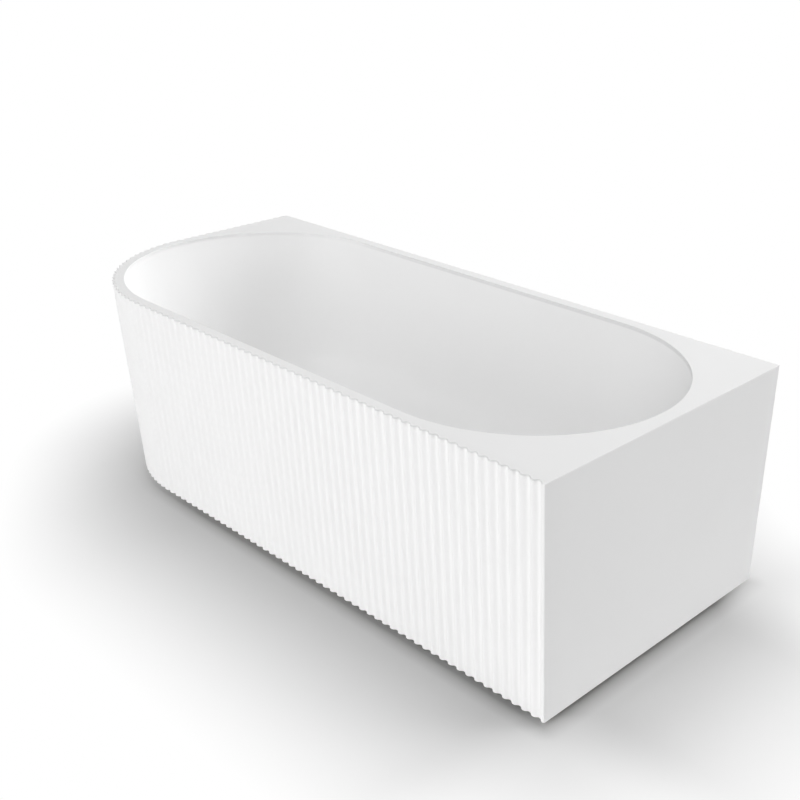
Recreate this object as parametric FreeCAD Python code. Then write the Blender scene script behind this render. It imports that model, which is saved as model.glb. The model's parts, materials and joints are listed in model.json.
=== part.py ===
import FreeCAD, Part
import math
import os

# A back-to-wall corner bath with a fluted skirt. Lengths are millimetres, angles degrees.
# Origin: centre of the footprint, on the floor. +X to the square end, +Y to the back wall, +Z up.

# Overall sizes
bath_length = 1700.0
bath_width = 785.0
rim_height = 550.0
floor_gap = 10.0

# Fluted outside: the front, the free round corner and the short end beyond it
corner_radius = 390.0
skirt_taper = 40.0
flute_pitch = 25.2
flute_depth = 6.0
first_crest = 4.3
edge_break = 1.5

# Shells and panels
deck_thickness = 8.0
bowl_wall = 8.0
skirt_wall = 5.0
panel_wall = 6.0

# Bowl: a stadium at every level, upright at the lip and sloping in below it
rim_width = 31.0
left_rim_width = 29.0
right_rim_width = 33.0
lip_height = 8.0
lip_radius = 2.0
floor_level = 120.0
side_slope = 8.0
end_slope = 22.0
floor_blend = 140.0
section_step = 40.0

# Base board and the plywood under the deck's wide corners
board_thickness = 15.0
board_margin = 12.0
board_hole = 110.0
stiffener_thickness = 12.0
stiffener_reach = 190.0
bond_gap = 1.5

# Frame of square tube
tube_size = 30.0
tube_wall = 2.0
frame_front_inset = 97.5
frame_back_inset = 42.5
frame_end_inset = 40.0
front_rail_reach = 110.0
back_rail_left_inset = 60.0
inner_cross_inset = 172.0
end_cap_plate = 3.0
end_cap_plug = 12.0
end_cap_slack = 0.2

# Posts under the deck's wide corners
post_size = 25.0
post_wall = 2.0
post_inset = 15.0
post_cap_size = 60.0
post_cap_thickness = 4.0

# Straps that tie the skirts to the frame
strap_width = 40.0
strap_thickness = 3.0
strap_lap = 25.0
strap_skirt_gap = 2.0
block_height = 40.0
block_depth = 18.0
block_width = 70.0
front_strap_shares = (-0.24, 0.03, 0.36)
back_strap_shares = (-0.33, 0.09, 0.36)
end_strap_shares = (-0.14, 0.2)

# Pan-head screws
screw_radius = 2.4
screw_clearance = 0.3
screw_head_radius = 4.8
screw_head_height = 3.0
strap_screw_length = 14.0
board_screw_bite = 10.0
board_screw_spacing = 180.0

# Feet
stud_radius = 6.0
thread_clearance = 0.05
tube_hole_clearance = 0.6
stud_base = 6.0
stud_top = 115.0
collar_flats = 19.0
collar_low = 20.0
collar_height = 8.0
pad_radius = 25.0
pad_height = 9.0
pad_edge = 2.0
socket_radius = 11.0
socket_height = 18.0
nut_flats = 19.0
nut_height = 10.0
front_foot_shares = (-0.27, 0.08, 0.43)
back_foot_shares = (-0.42, 0.0, 0.43)

# Waste
waste_hole_radius = 26.0
recess_radius = 38.0
recess_depth = 2.5
recess_edge = 1.0
flange_radius = 35.0
flange_thickness = 2.5
flange_edge = 1.0
flange_seal_thickness = 1.5
flange_seal_radius = 33.0
waste_tube_radius = 23.9
waste_bore_radius = 20.5
waste_seat_depth = 4.5
waste_seat_spread = 4.5
waste_shoulder_level = 60.0
spigot_radius = 20.0
spigot_bore_radius = 18.0
spigot_level = 30.0
under_seal_thickness = 4.0
slip_washer_thickness = 1.5
clamp_ring_radius = 37.0
back_nut_flats = 62.0
back_nut_height = 10.0
waste_hub_level = 88.0
waste_hub_height = 6.0
waste_hub_radius = 10.0
waste_rib_width = 4.0
waste_ribs = 3

# Click plug
cartridge_radius = 7.0
cartridge_bore_radius = 5.7
cartridge_base = 84.0
cartridge_floor = 2.0
cartridge_top = 116.0
cartridge_lid = 4.0
cartridge_flange_radius = 9.0
cartridge_flange_height = 2.0
stem_radius = 3.95
stem_clearance = 0.05
piston_radius = 5.5
piston_height = 4.0
spring_rest = 6.0
spring_radius = 5.4
spring_wire = 0.9
cap_radius = 32.0
cap_edge = 2.0
cap_crown = 5.0
cap_gap = 0.3
cap_boss_radius = 7.0
cap_boss_depth = 5.5
cap_seal_depth = 3.2
cap_seal_bore_radius = 14.0
cap_seal_gap = 0.3
stem_bite = 6.0

# How far a cutting body runs past what it cuts
overrun = 5.0

Vector = FreeCAD.Vector
up = Vector(0, 0, 1)

half_length = bath_length / 2
half_width = bath_width / 2
deck_underside = rim_height - deck_thickness
lip_bottom = rim_height - lip_height
bowl_underside = floor_level - bowl_wall
board_bottom = bowl_underside - board_thickness
rail_bottom = board_bottom - tube_size
corner_centre_x = corner_radius - half_length
corner_centre_y = corner_radius - half_width
front_rail_offset = half_width - frame_front_inset
back_rail_offset = half_width - frame_back_inset
rail_right_end = half_length - frame_end_inset
front_rail_left_end = front_rail_reach - corner_centre_x
back_rail_left_end = half_length - back_rail_left_inset
bowl_half_width = half_width - rim_width
bowl_left = max(left_rim_width - half_length, corner_centre_x - bowl_half_width)
bowl_right = half_length - right_rim_width
bowl_centre_x = (bowl_left + bowl_right) / 2
bowl_half_length = (bowl_right - bowl_left) / 2
front_run = bath_length - corner_radius
corner_run = corner_radius * math.pi / 2
left_run = bath_width - corner_radius


# Small helpers

def box(low_x, low_y, low_z, high_x, high_y, high_z):
    """A block between two opposite corners."""
    corner = Vector(low_x, low_y, low_z)
    return Part.makeBox(high_x - low_x, high_y - low_y, high_z - low_z, corner)


def cylinder(radius, low_z, high_z, x=0, y=0):
    """An upright cylinder."""
    return Part.makeCylinder(radius, high_z - low_z, Vector(x, y, low_z), up)


def ring(outer, inner, low_z, high_z, x=0, y=0):
    """An upright tube."""
    core = cylinder(inner, low_z - overrun, high_z + overrun, x, y)
    return cylinder(outer, low_z, high_z, x, y).cut(core)


def hexagon(flats, low_z, high_z, x=0, y=0):
    """An upright hexagonal bar, its size across flats."""
    reach = flats / 2 / math.cos(math.pi / 6)
    corners = []
    for side in range(6):
        turn = math.radians(60 * side)
        corners.append(Vector(x + reach * math.cos(turn), y + reach * math.sin(turn), low_z))
    corners.append(corners[0])
    return Part.Face(Part.makePolygon(corners)).extrude(Vector(0, 0, high_z - low_z))


def prism(points, travel):
    """A flat outline carried along one vector."""
    return Part.Face(Part.makePolygon(points + points[:1])).extrude(travel)


def turned(profile, x, y):
    """A (radius, height) outline turned about an upright axis."""
    points = [Vector(x + radius, y, height) for radius, height in profile]
    face = Part.Face(Part.makePolygon(points + points[:1]))
    return face.revolve(Vector(x, y, 0), up, 360)


def save(name, shape):
    """Write one node."""
    solids = shape.Solids
    body = solids[0] if len(solids) == 1 else Part.makeCompound(solids)
    body.exportStep("parts/" + name + ".step")
    print(name, len(solids), "solids", round(body.Volume / 1000, 1), "cm3", body.isValid())


# Outline of the fluted side

def lean(level):
    """How far the fluted faces have leaned in at a level."""
    return skirt_taper * (rim_height - level) / (rim_height - floor_gap)


def fluted_point(run, inset, level):
    """A point of the side, run along it from the square front corner and set in from the overall outline."""
    turn = (run - front_run) / corner_radius
    if run <= front_run:
        return Vector(half_length - run, inset - half_width, level)
    if run <= front_run + corner_run:
        reach = corner_radius - inset
        x = corner_centre_x - reach * math.sin(turn)
        y = corner_centre_y - reach * math.cos(turn)
        return Vector(x, y, level)
    past = run - front_run - corner_run
    return Vector(inset - half_length, corner_centre_y + past, level)


def flute_edges(level, set_in):
    """The wavy side at one level: an arc over each crest and one through each valley, end to end."""
    middle = flute_depth / 2 + lean(level) + set_in
    half_pitch = flute_pitch / 2
    start = first_crest - half_pitch / 2
    lead = math.ceil(start / half_pitch) if start > 0 else 0
    count = math.ceil((front_run + corner_run + left_run - start) / half_pitch)
    edges = []
    for half_wave in range(-lead, count):
        low = start + half_wave * half_pitch
        swing = flute_depth / 2 if half_wave % 2 == 0 else -flute_depth / 2
        begin = fluted_point(low, middle, level)
        crown = fluted_point(low + half_pitch / 2, middle - swing, level)
        end = fluted_point(low + half_pitch, middle, level)
        edges.append(Part.Arc(begin, crown, end).toShape())
    return edges


def fluted_outline(level, set_in=0):
    """The wavy side closed by straight lines past the back and the square end."""
    edges = flute_edges(level, set_in)
    first = edges[0].Vertexes[0].Point
    last = edges[-1].Vertexes[-1].Point
    beyond_x = half_length + flute_pitch
    beyond_y = half_width + flute_pitch
    corners = [last, Vector(last.x, beyond_y, level), Vector(beyond_x, beyond_y, level)]
    corners += [Vector(beyond_x, first.y, level), first]
    for begin, end in zip(corners, corners[1:]):
        edges.append(Part.makeLine(begin, end))
    return Part.Wire(edges)


def plain_outline(level, inset, end_inset, back_inset):
    """The same outline with no flutes, set in from the overall size."""
    set_in = lean(level) + inset
    a = Vector(half_length - end_inset, set_in - half_width, level)
    b = Vector(corner_centre_x, set_in - half_width, level)
    c = Vector(set_in - half_length, corner_centre_y, level)
    d = Vector(set_in - half_length, half_width - back_inset, level)
    e = Vector(half_length - end_inset, half_width - back_inset, level)
    reach = (corner_radius - set_in) * math.sqrt(0.5)
    crown = Vector(corner_centre_x - reach, corner_centre_y - reach, level)
    arc = Part.Arc(b, crown, c).toShape()
    lines = [Part.makeLine(a, b), arc, Part.makeLine(c, d), Part.makeLine(d, e), Part.makeLine(e, a)]
    return Part.Wire(lines)


def footprint():
    """A block that ends at the back wall and at the end wall."""
    low_x = -half_length - overrun
    low_y = -half_width - overrun
    return box(low_x, low_y, -overrun, half_length, half_width, rim_height + overrun)


def skirt_core(extra, low, high):
    """The space inside the skirts, with extra room taken off all round."""
    inset = flute_depth + skirt_wall + extra
    flat_inset = panel_wall + extra
    wires = [plain_outline(level, inset, flat_inset, flat_inset) for level in (low, high)]
    return Part.makeLoft(wires, True, True)


# Bowl

def wall_inset(level, slope, outset):
    """How far a bowl wall has come in at a level: a slope, then an arc that ends flat at the floor."""
    angle = math.radians(slope)
    centre_level = floor_level + floor_blend
    reach = floor_blend + outset
    touch_level = centre_level - floor_blend * math.sin(angle)
    centre_in = (lip_bottom - touch_level) * math.tan(angle) + floor_blend * math.cos(angle)
    outer_touch = centre_level - reach * math.sin(angle)
    if level >= outer_touch:
        return (lip_bottom - level) * math.tan(angle) - outset / math.cos(angle)
    drop = min(reach, centre_level - level)
    return centre_in - math.sqrt(reach * reach - drop * drop)


def stadium(level, side_inset, end_inset):
    """A stadium-shaped wire about the bowl's centre, its round ends in two arcs each."""
    radius = bowl_half_width - side_inset
    straight = bowl_half_length - end_inset - radius
    bend = radius * math.sqrt(0.5)
    right = bowl_centre_x + straight
    left = bowl_centre_x - straight

    def at(x, y):
        return Vector(x, y, level)

    edges = [
        Part.makeLine(at(left, -radius), at(right, -radius)),
        Part.Arc(at(right, -radius), at(right + bend, -bend), at(right + radius, 0)).toShape(),
        Part.Arc(at(right + radius, 0), at(right + bend, bend), at(right, radius)).toShape(),
        Part.makeLine(at(right, radius), at(left, radius)),
        Part.Arc(at(left, radius), at(left - bend, bend), at(left - radius, 0)).toShape(),
        Part.Arc(at(left - radius, 0), at(left - bend, -bend), at(left, -radius)).toShape(),
    ]
    return Part.Wire(edges)


def bowl_levels(top, outset):
    """Levels of the bowl's sections, evenly spaced down the side wall and round the blend into the floor."""
    angle = math.radians(side_slope)
    reach = floor_blend + outset
    centre_level = floor_level + floor_blend
    touch_level = centre_level - reach * math.sin(angle)
    wall_steps = math.ceil((top - touch_level) / section_step)
    sweep = math.pi / 2 - angle
    blend_steps = math.ceil(reach * sweep / section_step)
    levels = [top + (touch_level - top) * step / wall_steps for step in range(wall_steps)]
    for step in range(blend_steps + 1):
        levels.append(centre_level - reach * math.sin(angle + sweep * step / blend_steps))
    return levels


def bowl_form(top, outset):
    """The bowl as a filled form, its walls moved out by outset."""
    wires = []
    for level in bowl_levels(top, outset):
        side = wall_inset(level, side_slope, outset)
        end = wall_inset(level, end_slope, outset)
        wires.append(stadium(level, side, end))
    return Part.makeLoft(wires, True, False)


def lip_edges(plate):
    """The edges where a plate's top turns down into the bowl's mouth."""
    found = []
    for edge in plate.Edges:
        bounds = edge.BoundBox
        on_top = bounds.ZMin > rim_height - lip_radius
        inside = abs(bounds.Center.x) < half_length and abs(bounds.Center.y) < half_width
        if on_top and inside:
            found.append(edge)
    return found


def mouth():
    """The bowl's upright mouth as a filled form, flared by the lip's round at the deck's top."""
    block = box(-bath_length, -bath_width, lip_bottom, bath_length, bath_width, rim_height)
    outline = Part.Face(stadium(lip_bottom - overrun, 0, 0))
    plate = block.cut(outline.extrude(Vector(0, 0, lip_height + 2 * overrun)))
    return block.cut(plate.makeFillet(lip_radius, lip_edges(plate)))


def drain():
    """The recess for the waste's flange, with a sloping edge, and the hole below it."""
    top = floor_level + overrun
    dish_floor = floor_level - recess_depth
    edge = recess_radius + recess_edge * (top - dish_floor) / recess_depth
    dish = [(0, top), (edge, top), (recess_radius, dish_floor), (0, dish_floor)]
    hole = cylinder(waste_hole_radius, bowl_underside - overrun, top, bowl_centre_x)
    return turned(dish, bowl_centre_x, 0).fuse(hole)


def basin_shell():
    """Deck and bowl in one skin, with the recess and hole for the waste."""
    hollow = bowl_form(lip_bottom, 0).fuse(mouth())
    wires = [fluted_outline(deck_underside), fluted_outline(rim_height - edge_break)]
    wires.append(fluted_outline(rim_height, edge_break))
    deck = Part.makeLoft(wires, True, True).common(footprint())
    skin = bowl_form(deck_underside, bowl_wall).cut(hollow).cut(drain())
    return deck.cut(hollow).fuse(skin)


# Skirts

def skirt_ring():
    """All the skirts in one ring, open above and below."""
    wires = [fluted_outline(floor_gap), fluted_outline(deck_underside)]
    outside = Part.makeLoft(wires, True, True).common(footprint())
    return outside.cut(skirt_core(0, floor_gap - overrun, deck_underside + overrun))


def fluted_skirt(whole):
    """Front, round corner and short end."""
    region = box(-bath_length, -bath_width, 0, half_length - panel_wall, half_width - panel_wall, rim_height)
    return whole.common(region)


def end_skirt(whole):
    """Flat panel at the square end, over the full width."""
    region = box(half_length - panel_wall, -bath_width, 0, bath_length, bath_width, rim_height)
    return whole.common(region)


def back_skirt(whole):
    """Flat panel towards the back wall, up to the end panel."""
    region = box(-bath_length, half_width - panel_wall, 0, half_length - panel_wall, bath_width, rim_height)
    return whole.common(region)


# Plywood

def board_size():
    """Half length and half width of the base board, inside the flat of the bowl's floor."""
    half_l = bowl_half_length - wall_inset(floor_level, end_slope, 0) - board_margin
    half_w = bowl_half_width - wall_inset(floor_level, side_slope, 0) - board_margin
    return half_l, half_w


def inner_cross_places():
    """Where the two inner cross tubes stand along the bath, in from the board's ends."""
    offset = board_size()[0] - inner_cross_inset
    return bowl_centre_x - offset, bowl_centre_x + offset


def board_screw_places():
    """Where screws hold the board on the two inner cross tubes."""
    places = []
    for x in inner_cross_places():
        for row in (-1, 1):
            places.append((x, row * board_screw_spacing / 2))
    return places


def base_board():
    """Stadium-shaped board with room round the waste's nut."""
    half_l, half_w = board_size()
    side_inset = bowl_half_width - half_w
    end_inset = bowl_half_length - half_l
    board = Part.Face(stadium(board_bottom, side_inset, end_inset)).extrude(Vector(0, 0, board_thickness))
    low = board_bottom - overrun
    high = board_bottom + board_screw_bite
    board = board.cut(cylinder(board_hole / 2, low, bowl_underside + overrun, bowl_centre_x))
    for x, y in board_screw_places():
        board = board.cut(cylinder(screw_radius + thread_clearance, low, high, x, y))
    return board


def rim_stiffener(side_x, side_y):
    """Plywood under one wide corner of the deck, cut round the bowl."""
    low = deck_underside - stiffener_thickness
    inside = skirt_core(bond_gap, low, deck_underside)
    low_x = side_x * half_length if side_x < 0 else half_length - stiffener_reach
    low_y = side_y * half_width if side_y < 0 else half_width - stiffener_reach
    corner = box(low_x, low_y, low, low_x + stiffener_reach, low_y + stiffener_reach, deck_underside)
    bowl_end = bowl_right if side_x > 0 else bowl_left
    round_x = bowl_end - side_x * bowl_half_width
    bowl_room = cylinder(bowl_half_width + bowl_wall + bond_gap, low - overrun, rim_height, round_x)
    return inside.common(corner).cut(bowl_room)


# Frame

def tube_x(low_x, high_x, y):
    """A rail along X at the frame's level."""
    half = tube_size / 2
    outer = box(low_x, y - half, rail_bottom, high_x, y + half, board_bottom)
    bore = half - tube_wall
    low = rail_bottom + tube_wall
    high = board_bottom - tube_wall
    return outer.cut(box(low_x - overrun, y - bore, low, high_x + overrun, y + bore, high))


def tube_y(x, low_y, high_y):
    """A cross tube along Y at the frame's level."""
    half = tube_size / 2
    outer = box(x - half, low_y, rail_bottom, x + half, high_y, board_bottom)
    bore = half - tube_wall
    low = rail_bottom + tube_wall
    high = board_bottom - tube_wall
    return outer.cut(box(x - bore, low_y - overrun, low, x + bore, high_y + overrun, high))


def foot_places():
    """Centres of the six feet, all on the long rails."""
    front = [(share * bath_length, -front_rail_offset) for share in front_foot_shares]
    back = [(share * bath_length, back_rail_offset) for share in back_foot_shares]
    return front + back


def drilled(tube, places, radius):
    """Holes right through a tube."""
    for x, y in places:
        tube = tube.cut(cylinder(radius, rail_bottom - overrun, board_bottom + overrun, x, y))
    return tube


def top_drilled(tube, places):
    """Pilot holes through a tube's upper wall."""
    for x, y in places:
        low = board_bottom - tube_wall - overrun
        tube = tube.cut(cylinder(screw_radius + thread_clearance, low, board_bottom + overrun, x, y))
    return tube


def long_rail(low_x, y):
    """One long rail with its foot holes and strap screw holes."""
    rail = tube_x(low_x, rail_right_end, y)
    feet = [place for place in foot_places() if place[1] == y]
    screws = [place for place in strap_rail_screws() if place[1] == y]
    rail = drilled(rail, feet, stud_radius + tube_hole_clearance)
    return top_drilled(rail, screws)


def cross_tube(x):
    """One cross tube between the long rails."""
    tube = tube_y(x, tube_size / 2 - front_rail_offset, back_rail_offset - tube_size / 2)
    board_places = [place for place in board_screw_places() if abs(place[0] - x) < tube_size / 2]
    tube = drilled(tube, board_places, screw_radius + screw_clearance)
    screws = [place for place in strap_rail_screws() if place[0] == x]
    return top_drilled(tube, screws)


def rail_end_caps():
    """A plug with a plate in each open end of the long rails."""
    plug = tube_size / 2 - tube_wall - end_cap_slack
    half = tube_size / 2
    middle = (rail_bottom + board_bottom) / 2
    ends = [(-front_rail_left_end, -front_rail_offset, -1), (rail_right_end, -front_rail_offset, 1)]
    ends += [(-back_rail_left_end, back_rail_offset, -1), (rail_right_end, back_rail_offset, 1)]
    caps = []
    for x, y, side in ends:
        plate_x = sorted((x, x + side * end_cap_plate))
        plug_x = sorted((x, x - side * end_cap_plug))
        plate = box(plate_x[0], y - half, rail_bottom, plate_x[1], y + half, board_bottom)
        stub = box(plug_x[0], y - plug, middle - plug, plug_x[1], y + plug, middle + plug)
        caps.append(plate.fuse(stub))
    return Part.makeCompound(caps)


def post_places():
    """Centres of the three posts, on the rails' ends."""
    right = rail_right_end - post_inset
    left = post_inset - back_rail_left_end
    return [(right, -front_rail_offset), (right, back_rail_offset), (left, back_rail_offset)]


def rim_post(x, y):
    """An upright tube from a rail's end to its cap."""
    half = post_size / 2
    bore = half - post_wall
    top = deck_underside - stiffener_thickness - post_cap_thickness
    outer = box(x - half, y - half, board_bottom, x + half, y + half, top)
    return outer.cut(box(x - bore, y - bore, board_bottom - overrun, x + bore, y + bore, top + overrun))


def post_caps():
    """A square plate on each post."""
    half = post_cap_size / 2
    top = deck_underside - stiffener_thickness
    plates = []
    for x, y in post_places():
        plates.append(box(x - half, y - half, top - post_cap_thickness, x + half, y + half, top))
    return Part.makeCompound(plates)


# Straps, blocks and screws

def skirt_face(level):
    """Distance of the leaning skirt's inner face from the middle plane."""
    return half_width - lean(level) - flute_depth - skirt_wall


def strap_places():
    """For each strap: its place along the rail, its direction, and how far out the rail and skirt are."""
    level = board_bottom + strap_thickness
    places = []
    for share in front_strap_shares:
        places.append((share * bath_length, (0, -1), front_rail_offset, skirt_face(level)))
    for share in back_strap_shares:
        places.append((share * bath_length, (0, 1), back_rail_offset, half_width - panel_wall))
    for share in end_strap_shares:
        places.append((share * bath_width, (1, 0), rail_right_end - tube_size / 2, half_length - panel_wall))
    return places


def strap_point(along, reach, direction):
    """Plan place of a point on a strap, out from the bath's middle by reach."""
    if direction[0]:
        return direction[0] * reach, along
    return along, direction[1] * reach


def strap_rail_screws():
    """Places of the screws from the straps into the rails."""
    places = []
    for along, direction, rail, _ in strap_places():
        places.append(strap_point(along, rail, direction))
    return places


def strap_block_screws():
    """Places of the screws from the straps up into the blocks."""
    places = []
    for along, direction, _, face in strap_places():
        places.append(strap_point(along, face - block_depth / 2, direction))
    return places


def tie_straps():
    """Flat straps on the rails, out under the skirt blocks."""
    low = board_bottom
    high = board_bottom + strap_thickness
    half = strap_width / 2
    straps = []
    for along, direction, rail, face in strap_places():
        near = rail - strap_lap / 2
        far = face - strap_skirt_gap
        a = strap_point(along - half, near, direction)
        b = strap_point(along + half, far, direction)
        xs = sorted((a[0], b[0]))
        ys = sorted((a[1], b[1]))
        straps.append(box(xs[0], ys[0], low, xs[1], ys[1], high))
    holes = strap_rail_screws() + strap_block_screws()
    drilled_straps = []
    for strap in straps:
        for x, y in holes:
            strap = strap.cut(cylinder(screw_radius + screw_clearance, low - overrun, high + overrun, x, y))
        drilled_straps.append(strap)
    return Part.makeCompound(drilled_straps)


def skirt_blocks():
    """A plywood block on the inside of a skirt over each strap, its back following the skirt's lean."""
    low = board_bottom + strap_thickness
    high = low + block_height
    half = block_width / 2
    blocks = []
    for along, direction, _, face in strap_places():
        leaning = direction == (0, -1)
        upper_face = skirt_face(high) if leaning else face
        outline = [(face, low), (upper_face, high), (face - block_depth, high), (face - block_depth, low)]
        points = []
        for reach, level in outline:
            x, y = strap_point(along - half, reach, direction)
            points.append(Vector(x, y, level))
        travel = Vector(0, block_width, 0) if direction[0] else Vector(block_width, 0, 0)
        blocks.append(prism(points, travel))
    pilots = []
    for x, y in strap_block_screws():
        pilot = cylinder(screw_radius + thread_clearance, low - overrun, low + strap_screw_length, x, y)
        pilots.append(pilot)
    return Part.makeCompound(blocks).cut(Part.makeCompound(pilots))


def screw(x, y, seat, direction, length):
    """A pan-head screw: its head stands on the seat and its shank runs the other way."""
    head_end = seat - direction * screw_head_height
    shank_end = seat + direction * length
    head = cylinder(screw_head_radius, min(seat, head_end), max(seat, head_end), x, y)
    shank = cylinder(screw_radius, min(seat, shank_end), max(seat, shank_end), x, y)
    return head.fuse(shank)


def strap_screws():
    """One screw down into the rail and one up into the block for each strap."""
    top = board_bottom + strap_thickness
    screws = [screw(x, y, top, -1, strap_screw_length) for x, y in strap_rail_screws()]
    screws += [screw(x, y, board_bottom, 1, strap_screw_length) for x, y in strap_block_screws()]
    return Part.makeCompound(screws)


def board_screws():
    """Long screws up through the inner cross tubes into the base board."""
    length = tube_size + board_screw_bite
    screws = [screw(x, y, rail_bottom, 1, length) for x, y in board_screw_places()]
    return Part.makeCompound(screws)


# Feet

def foot_nuts(top):
    """A hexagonal nut on each stud, its upper face at top."""
    nuts = []
    for x, y in foot_places():
        body = hexagon(nut_flats, top - nut_height, top, x, y)
        bore = cylinder(stud_radius + thread_clearance, top - nut_height - overrun, top + overrun, x, y)
        nuts.append(body.cut(bore))
    return Part.makeCompound(nuts)


def foot_pad(x, y):
    """A round pad with a socket for the stud's foot."""
    profile = [(0, 0), (pad_radius - pad_edge, 0), (pad_radius, pad_edge), (pad_radius, pad_height / 2)]
    profile += [(socket_radius, pad_height), (socket_radius, socket_height), (0, socket_height)]
    pad = turned(profile, x, y)
    return pad.cut(cylinder(stud_radius + thread_clearance, stud_base, socket_height + overrun, x, y))


def foot_stud(x, y):
    """A threaded stud with a hexagon above the pad."""
    stud = cylinder(stud_radius, stud_base, stud_top, x, y)
    return stud.fuse(hexagon(collar_flats, collar_low, collar_low + collar_height, x, y))


# Waste

flange_underside = floor_level - recess_depth + flange_seal_thickness
flange_top = flange_underside + flange_thickness


def waste_body():
    """Flange, tube, three-legged cross and outlet spigot in one piece."""
    seat_radius = waste_bore_radius + waste_seat_spread
    step = waste_tube_radius - spigot_radius
    profile = [
        (seat_radius, flange_top),
        (flange_radius - flange_edge, flange_top),
        (flange_radius, flange_top - flange_edge),
        (flange_radius, flange_underside),
        (waste_tube_radius, flange_underside),
        (waste_tube_radius, waste_shoulder_level),
        (spigot_radius, waste_shoulder_level - step),
        (spigot_radius, spigot_level),
        (spigot_bore_radius, spigot_level),
        (spigot_bore_radius, waste_shoulder_level),
        (waste_bore_radius, waste_shoulder_level + step),
        (waste_bore_radius, flange_top - waste_seat_depth),
    ]
    body = turned(profile, bowl_centre_x, 0)
    hub_top = waste_hub_level + waste_hub_height
    hub = cylinder(waste_hub_radius, waste_hub_level, hub_top, bowl_centre_x)
    reach = (waste_bore_radius + waste_tube_radius) / 2
    half_rib = waste_rib_width / 2
    for leg in range(waste_ribs):
        rib = box(0, -half_rib, waste_hub_level, reach, half_rib, hub_top)
        rib.rotate(Vector(0, 0, 0), up, 360 / waste_ribs * leg)
        rib.translate(Vector(bowl_centre_x, 0, 0))
        hub = hub.fuse(rib)
    thread_radius = cartridge_radius + thread_clearance
    thread = cylinder(thread_radius, waste_hub_level - overrun, hub_top + overrun, bowl_centre_x)
    return body.fuse(hub).cut(thread)


def waste_flange_seal():
    """Rubber ring between the flange and the recess."""
    low = flange_underside - flange_seal_thickness
    inner = waste_tube_radius + thread_clearance
    return ring(flange_seal_radius, inner, low, flange_underside, bowl_centre_x)


def waste_under_seal():
    """Rubber ring under the bowl's floor."""
    low = bowl_underside - under_seal_thickness
    inner = waste_tube_radius + thread_clearance
    return ring(clamp_ring_radius, inner, low, bowl_underside, bowl_centre_x)


def waste_slip_washer():
    """Thin plastic washer that lets the nut turn."""
    top = bowl_underside - under_seal_thickness
    inner = waste_tube_radius + thread_clearance
    return ring(clamp_ring_radius, inner, top - slip_washer_thickness, top, bowl_centre_x)


def waste_back_nut():
    """Large thin nut that clamps the waste."""
    top = bowl_underside - under_seal_thickness - slip_washer_thickness
    low = top - back_nut_height
    thread_radius = waste_tube_radius + thread_clearance
    body = hexagon(back_nut_flats, low, top, bowl_centre_x)
    return body.cut(cylinder(thread_radius, low - overrun, top + overrun, bowl_centre_x))


# Click plug

spring_base = cartridge_base + cartridge_floor
piston_base = spring_base + spring_rest
cap_underside = flange_top + cap_gap
stem_top = cap_underside + stem_bite - cap_boss_depth


def plug_cartridge():
    """Housing of the click mechanism, screwed into the cross."""
    body = cylinder(cartridge_radius, cartridge_base, cartridge_top, bowl_centre_x)
    hub_top = waste_hub_level + waste_hub_height
    flange_high = hub_top + cartridge_flange_height
    body = body.fuse(cylinder(cartridge_flange_radius, hub_top, flange_high, bowl_centre_x))
    lid = cartridge_top - cartridge_lid
    stem_hole = stem_radius + stem_clearance
    body = body.cut(cylinder(cartridge_bore_radius, spring_base, lid, bowl_centre_x))
    return body.cut(cylinder(stem_hole, lid - overrun, cartridge_top + overrun, bowl_centre_x))


def plug_spring():
    """Sleeve that holds the place of the coil spring, below the piston."""
    return ring(spring_radius, spring_radius - spring_wire, spring_base, piston_base, bowl_centre_x)


def plug_stem():
    """Piston in the cartridge and the rod that carries the cap."""
    piston = cylinder(piston_radius, piston_base, piston_base + piston_height, bowl_centre_x)
    return piston.fuse(cylinder(stem_radius, piston_base, stem_top, bowl_centre_x))


def plug_cap():
    """Domed cap with a boss for the stem."""
    rim_top = cap_underside + cap_edge
    crown_radius = (cap_radius * cap_radius + cap_crown * cap_crown) / (2 * cap_crown)
    disc = cylinder(cap_radius, cap_underside, rim_top + cap_crown, bowl_centre_x)
    dome = Part.makeSphere(crown_radius, Vector(bowl_centre_x, 0, rim_top + cap_crown - crown_radius))
    cap = disc.common(dome)
    low = cap_underside - cap_boss_depth
    boss = cylinder(cap_boss_radius, low, cap_underside + cap_edge, bowl_centre_x)
    hole = cylinder(stem_radius + stem_clearance, low - overrun, stem_top, bowl_centre_x)
    return cap.fuse(boss).cut(hole)


def plug_cap_seal():
    """Tapered rubber ring under the cap, just clear of the waste's seat."""
    spread = waste_seat_spread / waste_seat_depth
    seat_radius = waste_bore_radius + waste_seat_spread
    top_radius = seat_radius - cap_seal_gap
    low_radius = top_radius - cap_seal_depth * spread - cap_seal_gap
    low = cap_underside - cap_seal_depth
    profile = [(cap_seal_bore_radius, cap_underside), (top_radius, cap_underside)]
    profile += [(low_radius, low), (cap_seal_bore_radius, low)]
    return turned(profile, bowl_centre_x, 0)


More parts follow.
